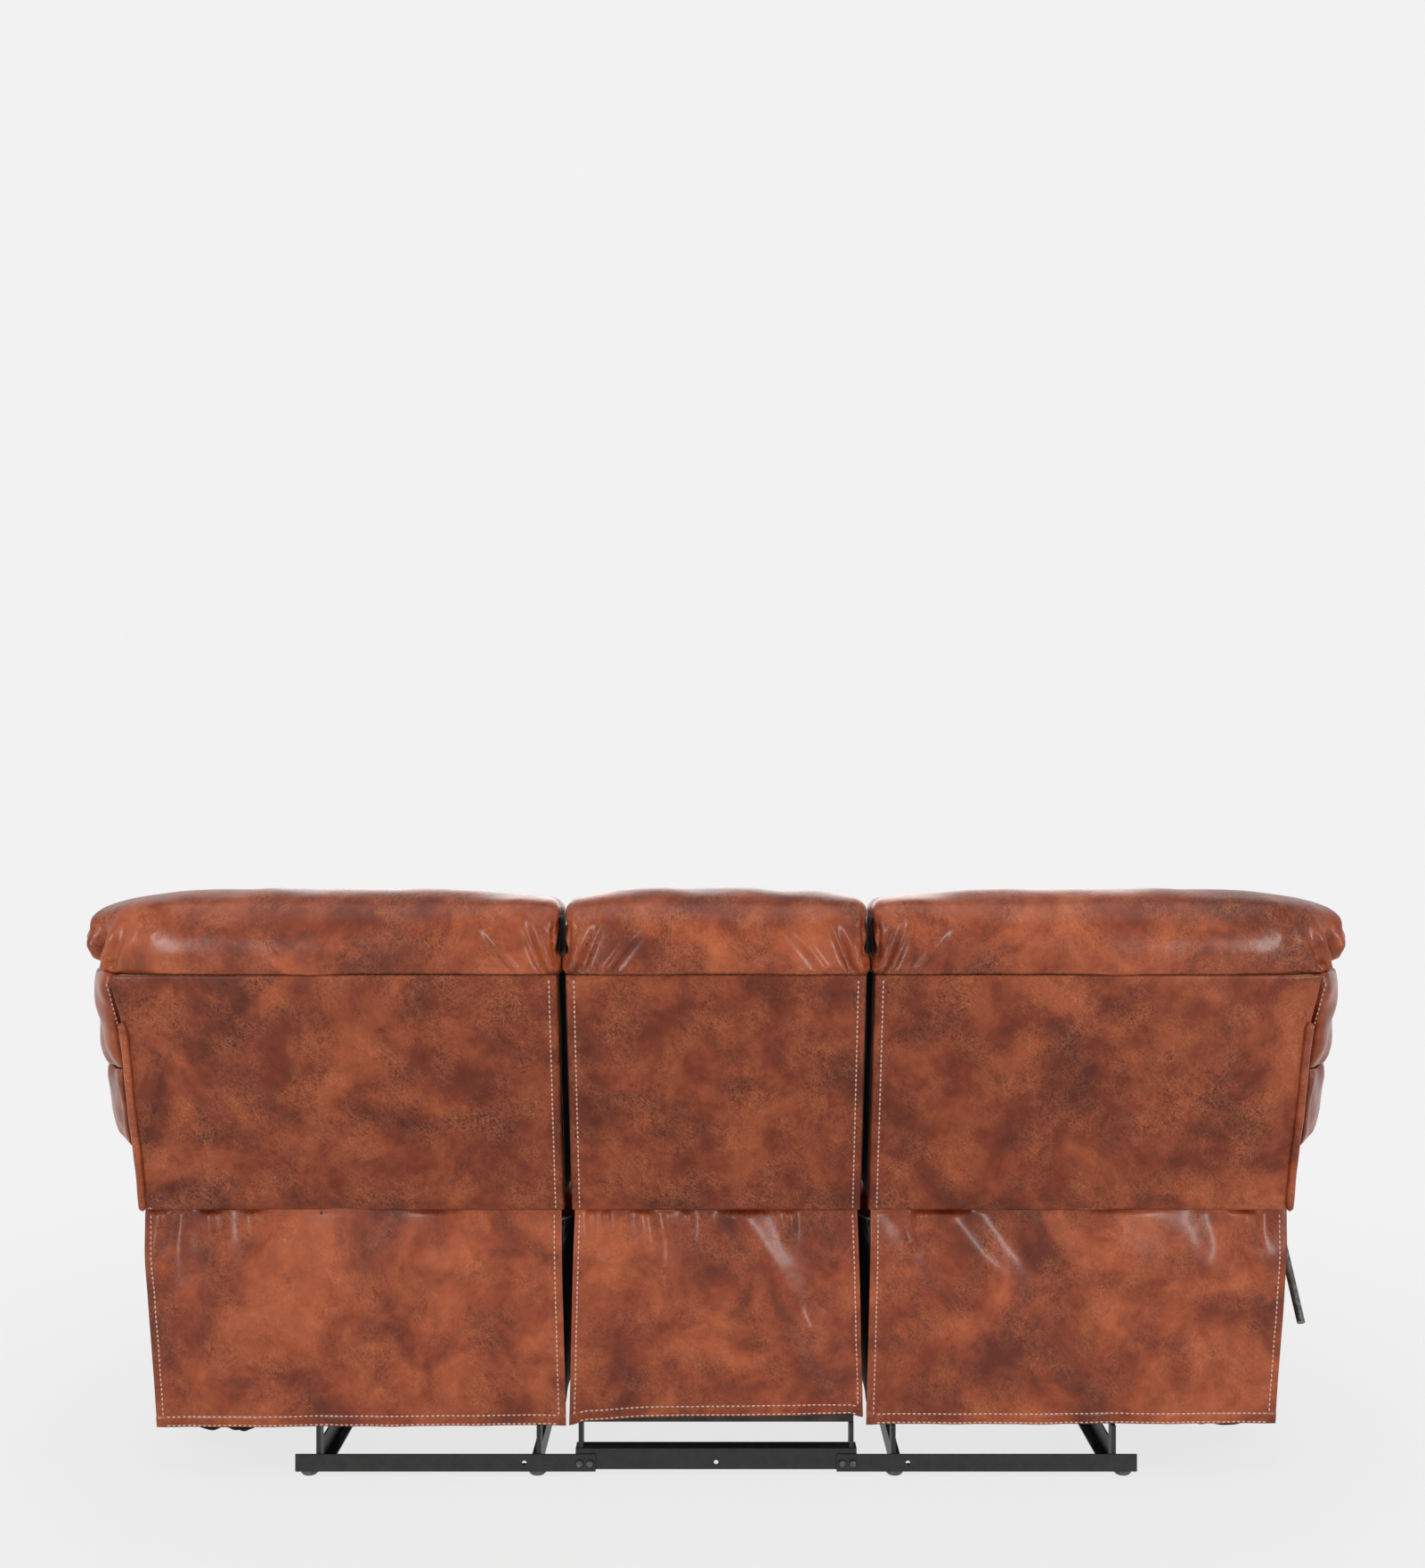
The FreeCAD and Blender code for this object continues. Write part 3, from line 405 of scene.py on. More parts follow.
def crowdedEnds(start, end, count, amount):
    # Places from start to end, closer together near both
    share = np.linspace(0, 1, count)
    return start + (end - start) * (share - amount * np.sin(2 * math.pi * share) / (2 * math.pi))


def quadRing(corners, bows, around):
    # Four edges between corners (.., 4, 2), each bowed outwards as a parabola, sampled by length
    corners = np.asarray(corners, float)
    after = np.roll(corners, -1, -2)
    lengths = np.linalg.norm(after - corners, axis=-1).reshape(-1, 4).mean(0)
    counts = np.maximum(np.round(around * lengths / lengths.sum()), 4).astype(int)
    counts[np.argmax(counts)] += around - counts.sum()
    centre = corners.mean(-2, keepdims=True)
    edges = []
    for edge in range(4):
        share = (np.arange(counts[edge]) / counts[edge])[:, None]
        start = corners[..., edge, None, :]
        end = after[..., edge, None, :]
        step = end - start
        normal = np.stack([step[..., 1], -step[..., 0]], -1)
        normal = normal / np.linalg.norm(normal, axis=-1, keepdims=True)
        side = np.sign(np.sum(normal * ((start + end) / 2 - centre), -1, keepdims=True))
        bow = np.asarray(bows)[..., edge, None, None]
        edges.append(start + step * share + normal * side * bow * 4 * share * (1 - share))
    return np.concatenate(edges, -2)


def roundedPull(near, radius):
    # 1 at an end and 0 a radius away from it, as a quarter circle
    return 1 - np.sqrt(1 - (1 - np.clip(near / radius, 0, 1)) ** 2)


def closeEnds(grid, shrinks, dome=0.0):
    # Rings that shrink towards the middle of each end ring, lifted along x as a dome
    shrinks = np.array(shrinks)
    caps = []
    for end, sign in ((0, -1), (-1, 1)):
        middle = grid[end].mean(0)
        cap = middle + (grid[end] - middle) * shrinks[:, None, None]
        cap[..., 0] += sign * dome * np.sqrt(1 - shrinks ** 2)[:, None]
        caps.append(cap)
    return np.concatenate([caps[0][::-1], grid, caps[1]])


def stations(start, end, count):
    # Places along a pillow, closer together in its rounded ends
    even = np.linspace(0, 1, count)
    return start + (end - start) * (even - 0.11 * np.sin(4 * math.pi * even) / (2 * math.pi)
                                    - 0.5 * np.sin(2 * math.pi * even) / (2 * math.pi))


pillowEnds = {"crown": 0.35, "mostInset": 0.7, "cap": (0.94, 0.82, 0.62, 0.36, 0.12)}


def pillowGrid(x0, x1, corners, bows, look):
    # Sections across the sofa: quadrilaterals with bowed edges and rounded corners, drawn in
    # towards their middle as a quarter ellipse near the two ends, which are domed
    around = look["around"]
    x = stations(x0, x1, look["stations"])
    share = (x - x0) / (x1 - x0)
    crown = pillowEnds["crown"] + (1 - pillowEnds["crown"]) * (1 - (2 * share - 1) ** 4)
    sections = np.repeat(np.asarray(corners, float)[None], len(x), 0)
    ring = quadRing(sections, crown[:, None] * np.asarray(bows)[None], around)
    rounded = smoothRing(ring, look["rounds"])
    if "crisp" in look:
        # The corner where a seam joins the next piece keeps its edge
        crispY, crispZ, reach = look["crisp"]
        away = np.hypot(ring[..., 0] - crispY, ring[..., 1] - crispZ)
        keep = (1 - fadeIn(away, reach * 0.2, reach))[..., None]
        rounded = rounded * (1 - keep) + smoothRing(ring, 2) * keep
    ring = rounded
    pull = roundedPull(np.minimum(x - x0, x1 - x), look["endRadius"])
    centre = ring.mean(1, keepdims=True)
    half = (ring.max(1, keepdims=True) - ring.min(1, keepdims=True)) / 2
    scale = 1 - pull[:, None, None] * np.minimum(look["endInset"] / half, pillowEnds["mostInset"])
    if "crisp" in look:
        scale = 1 - (1 - scale) * fadeIn(ring[..., 1:], crispZ + 0.004, crispZ + 0.060)
    ring = centre + (ring - centre) * scale
    grid = np.concatenate([np.repeat(x[:, None, None], around, 1), ring], -1)
    return closeEnds(grid, pillowEnds["cap"], look["endDome"])


def stackRings(ring, z):
    # Rings in plan, each lifted to its height
    return np.concatenate([ring, np.repeat(z[:, None, None], ring.shape[1], 1)], -1)


def mirrorGrid(grid, side):
    # The right-hand pieces mirror the left-hand ones across the sofa's middle
    return grid * np.array([-1.0, 1.0, 1.0]) if side == "right" else grid


sides = ("left", "right", "centre")


def bodyOf(side, part):
    # The middle seat belongs to the base
    return "base" if side == "centre" else side + "_" + part


def finishSoft(piece, body, cadNode):
    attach(piece, body)
    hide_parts(cadNode)


# Cloth pass: a closed piece is blown up a little, with its travel capped

clothPass = {"pressure": 4.5, "frames": 7, "tension": 22.0, "bending": 0.6, "quality": 3,
             "mass": 0.4, "damping": 4.0}


def blowUp(piece, cap):
    # A short cloth run under inner pressure, without weight; no point moves further than cap
    mesh = piece.data
    rest = np.zeros(len(mesh.vertices) * 3)
    mesh.vertices.foreach_get("co", rest)
    rest = rest.reshape(-1, 3)
    cloth = piece.modifiers.new("Cloth", "CLOTH")
    settings = cloth.settings
    settings.quality = clothPass["quality"]
    settings.mass = clothPass["mass"]
    settings.tension_stiffness = clothPass["tension"]
    settings.compression_stiffness = clothPass["tension"]
    settings.shear_stiffness = clothPass["tension"] / 3
    settings.bending_stiffness = clothPass["bending"]
    settings.air_damping = clothPass["damping"]
    settings.effector_weights.gravity = 0.0
    settings.use_pressure = True
    settings.uniform_pressure_force = clothPass["pressure"]
    cloth.point_cache.frame_start = 1
    cloth.point_cache.frame_end = clothPass["frames"] + 1
    for number in range(1, clothPass["frames"] + 1):
        scene.frame_set(number)
    evaluated = piece.evaluated_get(bpy.context.evaluated_depsgraph_get())
    moved = np.zeros(len(mesh.vertices) * 3)
    evaluated.data.vertices.foreach_get("co", moved)
    piece.modifiers.remove(cloth)
    travel = moved.reshape(-1, 3) - rest
    length = np.linalg.norm(travel, axis=1, keepdims=True)
    travel *= np.minimum(length, cap) / np.maximum(length, 1e-9)
    mesh.vertices.foreach_set("co", (rest + travel).ravel())
    mesh.update()
    scene.frame_set(1)


# Stitches: short rods with rounded ends laid along a line of points

def stitchRow(points, outward, look):
    # Even pitch along the line; each stitch is a flattened six-sided spindle
    points = np.asarray(points, float)
    steps = np.linalg.norm(np.diff(points, axis=0), axis=1)
    reached = np.r_[0, np.cumsum(steps)]
    pitch, share = look["pitch"], look["share"]
    count = max(int(reached[-1] / pitch), 1)
    start = (np.arange(count) + 0.5 * (1 - share)) * pitch
    stops = start[:, None] + np.linspace(0, share * pitch, 4)[None, :]
    line = np.stack([np.interp(stops, reached, points[:, axis]) for axis in range(3)], -1)
    outward = np.asarray(outward, float)
    if outward.ndim > 1:
        outward = np.stack([np.interp(stops, reached, outward[:, axis]) for axis in range(3)], -1)
    else:
        outward = np.broadcast_to(outward, line.shape)
    outward = outward / np.linalg.norm(outward, axis=-1, keepdims=True)
    tangent = line[:, -1:] - line[:, :1]
    tangent = tangent / np.linalg.norm(tangent, axis=-1, keepdims=True)
    side = np.cross(tangent, outward)
    turn = np.arange(6) * math.pi / 3
    radius = look["radius"] * np.array([0.45, 1.0, 1.0, 0.45])[None, :, None, None]
    lift = outward * look["radius"] * np.array([0.0, 0.7, 0.7, 0.0])[None, :, None]
    circle = np.cos(turn)[:, None] * side[:, :, None] + 0.8 * np.sin(turn)[:, None] * outward[:, :, None]
    return (line + lift)[:, :, None] + radius * circle


def stitchPiece(name, rows, body=None):
    # All stitches of a piece in one mesh, four rings of six points for each
    rings = np.concatenate(rows)
    shifts = np.arange(len(rings))[:, None, None] * 24
    here = np.add.outer(np.arange(3) * 6, np.arange(6)).ravel()
    after = np.add.outer(np.arange(3) * 6, (np.arange(6) + 1) % 6).ravel()
    quads = np.stack([here, after, after + 6, here + 6], -1) + shifts
    ends = np.stack([np.arange(5, -1, -1), 18 + np.arange(6)]) + shifts
    faces = quads.reshape(-1, 4).tolist() + ends.reshape(-1, 6).tolist()
    piece = meshObject(name, rings.reshape(-1, 3), faces, thread)
    if body:
        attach(piece, body)
    return piece


stitching = {"pitch": 0.0088, "share": 0.66, "radius": 0.0014}


# Headrest rolls

rollLook = {
    "stations": 200, "around": 190, "rounds": 34,
    "endRadius": 0.017, "endInset": 0.010, "endDome": 0.004,
    "noseBow": 0.020, "crownBow": 0.028, "rearBow": 0.0175, "sweep": 0.050,
}


def rollGrid(x0, x1, innerEnd, outerEnd):
    # A pillow section whose lower rear corner stays crisp at the seam; the outer end of an outer
    # roll is swept forwards. Creases are measured from the ends inwards
    low = sofa["seam"] + 0.0003
    rear = rearFace(low)
    front = rear - sofa["depth"]
    corners = [(rear - 0.001, low), (front - 0.004, low),
               (front + 0.066, sofa["top"] - 0.036), (rear - 0.013, sofa["top"] - 0.028)]
    bows = [0.0, rollLook["noseBow"], rollLook["crownBow"], rollLook["rearBow"]]
    look = dict(rollLook, crisp=(rear, low, 0.030))
    grid = pillowGrid(x0, x1, corners, bows, look)
    if x0 > 0:
        # The sweep grows as a power of the share; the top falls away and the foot draws in
        late = np.clip((grid[..., 0] - x1 + 0.16) / 0.16, 0, 1)
        behind = np.clip((grid[..., 1] - rear + 0.19) / 0.19, 0, 1)
        grid[..., 1] -= rollLook["sweep"] * late ** 2.2 * behind
        grid[..., 2] -= 0.022 * late ** 2 * fadeIn(grid[..., 2], low + 0.02, low + 0.13)
        grid[..., 0] -= 0.020 * late ** 2 * (1 - fadeIn(grid[..., 2], low, low + 0.060))
    normal = outwards(grid, gridNormals(grid))
    x, y, z = grid[..., 0], grid[..., 1], grid[..., 2]
    relief = 0.0016 * softWaves(grid, 0.16, 5) + 0.0007 * softWaves(grid, 0.05, 6)
    above = np.clip((z - low) / 0.1, 0, 1)
    # Needle puckers run up from the seam
    puckers = 0.5 + 0.5 * ripple(x, 0.013, 2 * softWaves(grid, 0.09, 7))
    relief -= 0.0012 * np.exp(-(z - low) / 0.012) * puckers
    relief -= 0.0014 * bell(z - low, 0.0022)
    for end, lines in ((x0, innerEnd), (x1, outerEnd)):
        away = np.abs(x - end)
        relief += creases(away, z, lines) * fadeIn(above, 0.0, 0.12)
        # Gathers fan out from the end seam
        relief += 0.0020 * np.exp(-away / 0.030) * ripple(y * 0.7 + z, 0.034, end)
    keep = fadeIn(z, low - 0.001, low + 0.004)
    return grid + normal * (relief * (0.25 + 0.75 * keep))[..., None]


# (distance from the end, height) pairs of each crease, its half width and its height
gatheredEnd = [
    (0.009, 0.900, 0.041, 0.990, 0.0100, 0.0120),
    (0.024, 0.898, 0.060, 0.985, 0.0080, -0.0080),
    (0.070, 0.904, 0.122, 0.972, 0.0060, 0.0065),
    (0.083, 0.902, 0.134, 0.968, 0.0065, -0.0045),
    (0.004, 0.930, 0.006, 1.000, 0.0050, -0.0050),
]
foldedEnd = [
    (0.010, 0.899, 0.004, 0.985, 0.0070, 0.0100),
    (0.018, 0.899, 0.028, 0.978, 0.0075, -0.0150),
    (0.028, 0.900, 0.064, 0.988, 0.0090, 0.0130),
    (0.042, 0.904, 0.086, 0.978, 0.0085, -0.0095),
    (0.052, 0.920, 0.105, 0.995, 0.0120, 0.0060),
    (0.120, 0.960, 0.180, 1.010, 0.0140, 0.0035),
]

for side in sides:
    if side == "centre":
        grid = rollGrid(-sofa["centreHalf"], sofa["centreHalf"], gatheredEnd, gatheredEnd)
    else:
        grid = rollGrid(sofa["inner"], sofa["rollOuter"], gatheredEnd, foldedEnd)
    roll = ringPiece(side + "_headrest_roll_cover", mirrorGrid(grid, side), leather)
    finishSoft(roll, bodyOf(side, "back"), side + "_headrest_roll")
print("Headrest rolls made")


# Rear covers: flat padded boxes round the back frames, lofted from bottom to top

rearLook = {"rows": 150, "around": 300, "corner": 0.006, "bulge": 0.007, "hollow": 0.0012,
            "seamInset": 0.0135}


def boxRing(x0, x1, y0, y1, around, radius):
    # A rectangle with rounded corners in plan, the same count on each side for every height
    corners = np.stack([np.stack([x0, y0], -1), np.stack([x1, y0], -1),
                        np.stack([x1, y1], -1), np.stack([x0, y1], -1)], 1)
    ring = quadRing(corners, np.zeros((len(x0), 4)), around)
    return smoothRing(ring, max(int((radius / 0.004) ** 2), 2))


def rearCoverGrid(x0, x1Low, x1High, lines):
    # A box that leans with the frame, its rear face swelling as a product of two flat arches
    low, high = sofa["panelBottom"], sofa["seam"] - 0.0002
    z = crowdedEnds(low, high, rearLook["rows"], 0.6)
    rear = rearFace(z)
    right = x1Low + (x1High - x1Low) * fadeIn(z, 0.800, 0.886)
    ring = boxRing(np.full_like(right, x0), right, rear - sofa["frameDepth"] + 0.0005, rear,
                   rearLook["around"], rearLook["corner"])
    grid = stackRings(ring, z)
    x, y, height = grid[..., 0], grid[..., 1], grid[..., 2]
    across = (x - x0) / (right - x0)[:, None]
    share = ((z - low) / (high - low))[:, None]
    onRear = fadeIn(y - rear[:, None], -0.012, -0.002)
    inside = np.clip(across * (1 - across) * 4, 0, 1) ** 0.55
    relief = rearLook["bulge"] * inside * np.clip(share * (1 - share) * 4, 0, 1) ** 0.6
    relief += rearLook["hollow"] * softWaves(grid, 0.17, 11) * inside
    relief += creases(x, height, lines)
    # Puckers below the top seam; the skin draws in at the seam and rolls under at the bottom edge
    puckers = 0.5 + 0.5 * ripple(x, 0.012, 2 * softWaves(grid, 0.08, 12))
    relief -= 0.0010 * np.exp(-(high - height) / 0.011) * puckers
    relief -= 0.0014 * bell(high - height, 0.0022)
    relief -= 0.006 * roundedPull(height - low, 0.010)
    # Stitch line of each corner seam: a shallow valley a stitch's width in from the edge
    for edge in (x0, right[:, None]):
        relief -= 0.0014 * bell(np.abs(x - edge) - rearLook["seamInset"], 0.0025)
    grid[..., 1] += relief * onRear
    return closeEnds(grid, (0.9, 0.6, 0.2))


leftRearLines = [
    (0.980, 0.500, 0.905, 0.535, 0.012, 0.0035),
    (0.975, 0.480, 0.930, 0.500, 0.007, -0.0030),
    (0.985, 0.860, 0.900, 0.885, 0.030, 0.0030),
]
rightRearLines = [
    (0.990, 0.872, 0.940, 0.800, 0.022, -0.0025),
    (0.960, 0.486, 0.915, 0.500, 0.008, 0.0025),
]


centreRearLines = [(0.10, 0.880, 0.02, 0.872, 0.03, -0.0015)]


def surfaceDepth(piece, xs, zs):
    # Rear surface of a piece at points given by x and z, found by rays from behind; -1 off the piece
    depths = []
    for px, pz in zip(xs, zs):
        hit, place, _, _ = piece.ray_cast(Vector((px, 1.0, pz)), Vector((0, -1, 0)))
        depths.append(place.y if hit else -1.0)
    return np.array(depths)


for side, lines in zip(sides, (leftRearLines, rightRearLines, centreRearLines)):
    if side == "centre":
        x0, x1Low, x1High = -sofa["centreHalf"], sofa["centreHalf"], sofa["centreHalf"]
        seams = [sofa["centreHalf"] - rearLook["seamInset"], rearLook["seamInset"] - sofa["centreHalf"]]
    else:
        x0, x1Low, x1High = sofa["inner"], sofa["outerLow"], sofa["outerHigh"]
        seams = [(sofa["inner"] + rearLook["seamInset"]) * (1 if side == "left" else -1)]
    grid = rearCoverGrid(x0, x1Low, x1High, lines)
    # The rear covers wear the leather copy with painted shade
    cover = ringPiece(side + "_rear_cover", mirrorGrid(grid, side), shadedPanelLeather)
    finishSoft(cover, bodyOf(side, "back"), side + "_back_panel")
    bpy.context.view_layer.update()
    rows = []
    for seam in seams:
        zs = np.linspace(sofa["panelBottom"] + 0.004, sofa["seam"] - 0.006, 60)
        xs = np.full_like(zs, seam)
        rows.append(stitchRow(np.stack([xs, surfaceDepth(cover, xs, zs), zs], -1), (0, 1, 0), stitching))
    stitchPiece(side + "_rear_cover_stitches", rows, bodyOf(side, "back"))
print("Rear covers made")


# Skirts: sheets of leather cloth hanging from the panels' lower edges, with a doubled hem

skirtLook = {
    "topZ": 0.4777, "thickness": 0.0024, "columns": 230, "rows": 150,
    "hem": 0.0175, "hemRise": 0.0020, "wave": 0.0045, "creases": 1.6, "belly": 0.0100,
}


def along(pair, share):
    return pair[0] + (pair[1] - pair[0]) * share


def skirtGrid(look):
    # Straight lines from the top edge to the hem; folds grow downwards from nothing
    u = np.linspace(0, 1, skirtLook["columns"])[:, None]
    v = np.linspace(0, 1, skirtLook["rows"])[None, :]
    # The middle hem arches and drops at its two corners
    drop = fadeIn(u, 0.94, 1.0) + fadeIn(-u, -0.05, 0.0)
    hemZ = along(look["hem"], u) + (look["arch"] * np.sin(math.pi * u) - look["drop"] * drop)
    x = along(look["top"], u) * (1 - v) + along(look["bottom"], u) * v
    z = skirtLook["topZ"] * (1 - v) + hemZ * v
    y = look["depth"][0] * (1 - v) + look["depth"][1] * v + 0 * u
    grid = np.stack([x, y, z], -1)
    relief = skirtLook["wave"] * v ** 0.7 * softWaves(grid * np.array([1, 1, 0.25]), 0.24, 21)
    relief += 0.0008 * softWaves(grid, 0.07, 22)
    relief += skirtLook["creases"] * creases(x, z, look["lines"]) * fadeIn(skirtLook["topZ"] - z, 0.0, 0.012)
    # The cloth swells out below the panel, then hangs back to the hem
    relief += skirtLook["belly"] * fadeIn(v, 0.0, 0.28) * (1 - fadeIn(v, 0.30, 1.0))
    # The top edge tucks under the panel, the hem stands proud of the cloth above it
    relief -= 0.006 * np.exp(-(skirtLook["topZ"] - z) / 0.010)
    hem = skirtLook["hem"]
    relief += skirtLook["hemRise"] * fadeIn(-(z - hemZ), -hem - 0.001, -hem + 0.001)
    grid[..., 1] += relief
    return grid, hemZ


def sheetPiece(name, grid, thickness, material):
    # Two skins half a thickness to each side of the middle one, joined round the border
    normal = gridNormals(grid, closed=False)
    rear = grid + normal * thickness / 2
    front = grid - normal * thickness / 2
    nu, nv = grid.shape[:2]
    index = np.arange(nu * nv).reshape(nu, nv)

    def quads(i):
        return np.stack([i[:-1, :-1], i[1:, :-1], i[1:, 1:], i[:-1, 1:]], -1).reshape(-1, 4)

    border = np.concatenate([index[:, 0], index[-1, 1:], index[-2::-1, -1], index[0, -2:0:-1]])
    edge = np.stack([border, np.roll(border, -1)], -1)
    walls = np.concatenate([edge[:, ::-1], edge + nu * nv], -1)
    faces = np.concatenate([quads(index), quads(index)[:, ::-1] + nu * nv, walls])
    points = np.concatenate([rear.reshape(-1, 3), front.reshape(-1, 3)])
    return meshObject(name, points, faces.tolist(), material)


leftSkirtLines = [
    (0.868, 0.470, 0.860, 0.315, 0.017, 0.0068),
    (0.800, 0.470, 0.794, 0.375, 0.018, 0.0058),
    (0.955, 0.468, 0.968, 0.330, 0.016, 0.0060),
    (0.925, 0.468, 0.930, 0.340, 0.020, -0.0060),
    (0.700, 0.470, 0.560, 0.300, 0.055, -0.0050),
    (0.480, 0.470, 0.430, 0.330, 0.040, 0.0045),
]
rightSkirtLines = [
    (0.348, 0.474, 0.341, 0.400, 0.011, 0.0075),
    (0.400, 0.470, 0.520, 0.325, 0.038, 0.0100),
    (0.455, 0.470, 0.600, 0.310, 0.035, -0.0060),
    (0.300, 0.470, 0.420, 0.330, 0.026, -0.0050),
    (0.905, 0.472, 0.935, 0.375, 0.022, 0.0090),
    (0.945, 0.470, 0.925, 0.400, 0.018, -0.0055),
    (0.850, 0.470, 0.870, 0.370, 0.028, -0.0050),
    (0.700, 0.470, 0.690, 0.330, 0.050, 0.0040),
]
centreSkirtLines = [
    (0.214, 0.472, 0.212, 0.422, 0.008, 0.0055),
    (0.190, 0.472, 0.186, 0.424, 0.008, 0.0045),
    (0.122, 0.472, 0.102, 0.325, 0.016, 0.0070),
    (0.092, 0.472, 0.070, 0.350, 0.018, -0.0045),
    (0.050, 0.472, 0.044, 0.400, 0.011, 0.0050),
    (-0.036, 0.468, -0.232, 0.150, 0.035, 0.0130),
    (-0.160, 0.270, -0.236, 0.120, 0.030, 0.0080),
    (0.000, 0.468, -0.190, 0.150, 0.030, -0.0050),
    (-0.125, 0.472, -0.132, 0.415, 0.011, 0.0055),
    (-0.180, 0.300, -0.235, 0.190, 0.030, -0.0040),
]


endSkirt = {"top": (sofa["inner"] + 0.005, sofa["outerLow"] - 0.003), "bottom": (0.2605, 0.970),
            "depth": (0.3275, 0.2970), "arch": 0.0, "drop": 0.0}
skirts = {
    "left": dict(endSkirt, hem=(0.0925, 0.091), lines=leftSkirtLines),
    "right": dict(endSkirt, hem=(0.094, 0.098), lines=rightSkirtLines),
    "centre": {"top": (-0.2425, 0.2425), "bottom": (-0.2555, 0.2555), "depth": (0.3275, 0.2940),
               "arch": 0.004, "drop": 0.006, "hem": (0.111, 0.0985), "lines": centreSkirtLines},
}
for side in sides:
    grid, hemZ = skirtGrid(skirts[side])
    grid = mirrorGrid(grid, side)
    if side == "right":
        grid = grid[::-1]
        hemZ = hemZ[::-1]
    skirt = sheetPiece(side + "_skirt_cloth", grid, skirtLook["thickness"], leather)
    outward = gridNormals(grid, closed=False)
    outward = outward * np.sign(outward[..., 1].mean())
    skin = grid + outward * skirtLook["thickness"] / 2
    # One row of stitches down each side and two along the hem
    rows = [stitchRow(skin[column, 4:-6], outward[column, 4:-6], stitching) for column in (4, -5)]
    for height in (0.0030, 0.0175):
        share = (hemZ[:, 0] + height - skin[:, 0, 2]) / (skin[:, -1, 2] - skin[:, 0, 2])
        place = np.clip(share, 0, 1) * (skin.shape[1] - 1)
        low = np.minimum(place.astype(int), skin.shape[1] - 2)
        part = (place - low)[:, None]
        columns = np.arange(len(skin))
        line = skin[columns, low] * (1 - part) + skin[columns, low + 1] * part
        rows.append(stitchRow(line[5:-5], (0, 1, 0), stitching))
    stitches = stitchPiece(side + "_skirt_stitches", rows)
    for piece in (skirt, stitches):
        if side == "centre":
            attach(piece, "base")
        else:
            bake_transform(piece)
    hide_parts(side + "_skirt")
print("Skirts made")


# Back pillows: two tiers in front, and side wings over the arms

padLook = {"stations": 120, "around": 130, "rounds": 40, "endRadius": 0.030, "endInset": 0.010,
           "endDome": 0.0004, "bottom": 0.486, "gap": 0.003}


def backPadGrid(x0, x1, z0, z1, crown, seed):
    # A leaning pillow section with a bowed front
    rear0, rear1 = rearFace(z0) - sofa["frameDepth"], rearFace(z1) - sofa["frameDepth"]
    front = sofa["depth"] - sofa["frameDepth"]
    corners = [(rear0, z0), (rear0 - front, z0), (rear1 - front, z1), (rear1, z1)]
    grid = pillowGrid(x0, x1, corners, [0, crown, 0, 0], padLook)
    normal = outwards(grid, gridNormals(grid))
    y, z = grid[..., 1], grid[..., 2]
    ahead = fadeIn(rearFace(z) - y, 0.10, 0.18)
    relief = 0.0022 * softWaves(grid, 0.15, seed) * ahead
    # Gathers at the seams between the tiers
    edge = np.minimum(z - z0, z1 - z)
    gathers = ripple(grid[..., 0], 0.028, 2 * softWaves(grid, 0.1, seed + 1))
    relief += 0.0016 * ahead * np.exp(-edge / 0.018) * gathers
    return grid + normal * relief[..., None]


def makePad(name, body, cadNode, side, grid, cap):
    pad = ringPiece(name, mirrorGrid(grid, side), leather)
    blowUp(pad, cap)
    finishSoft(pad, body, cadNode)


tiers = {"lower": (padLook["bottom"], sofa["tier"] - 0.001, 0.016),
         "upper": (sofa["tier"] + 0.001, sofa["seam"] - 0.001, 0.014)}
for side in sides:
    if side == "centre":
        x0, x1, seed = -sofa["centreHalf"] + padLook["gap"], sofa["centreHalf"] - padLook["gap"], 35
    else:
        x0, x1, seed = sofa["inner"] + padLook["gap"], sofa["armInner"] - 0.001, 31
    for tier, (z0, z1, crown) in tiers.items():
        cadNode = "centre_back_pads" if side == "centre" else side + "_back_" + tier + "_pad"
        grid = backPadGrid(x0, x1, z0, z1, crown, seed)
        makePad(side + "_" + tier + "_pillow", bodyOf(side, "back"), cadNode, side, grid, 0.0035)
print("Back pillows made")


wingLook = {"rows": 90, "around": 200, "endRadius": 0.045}


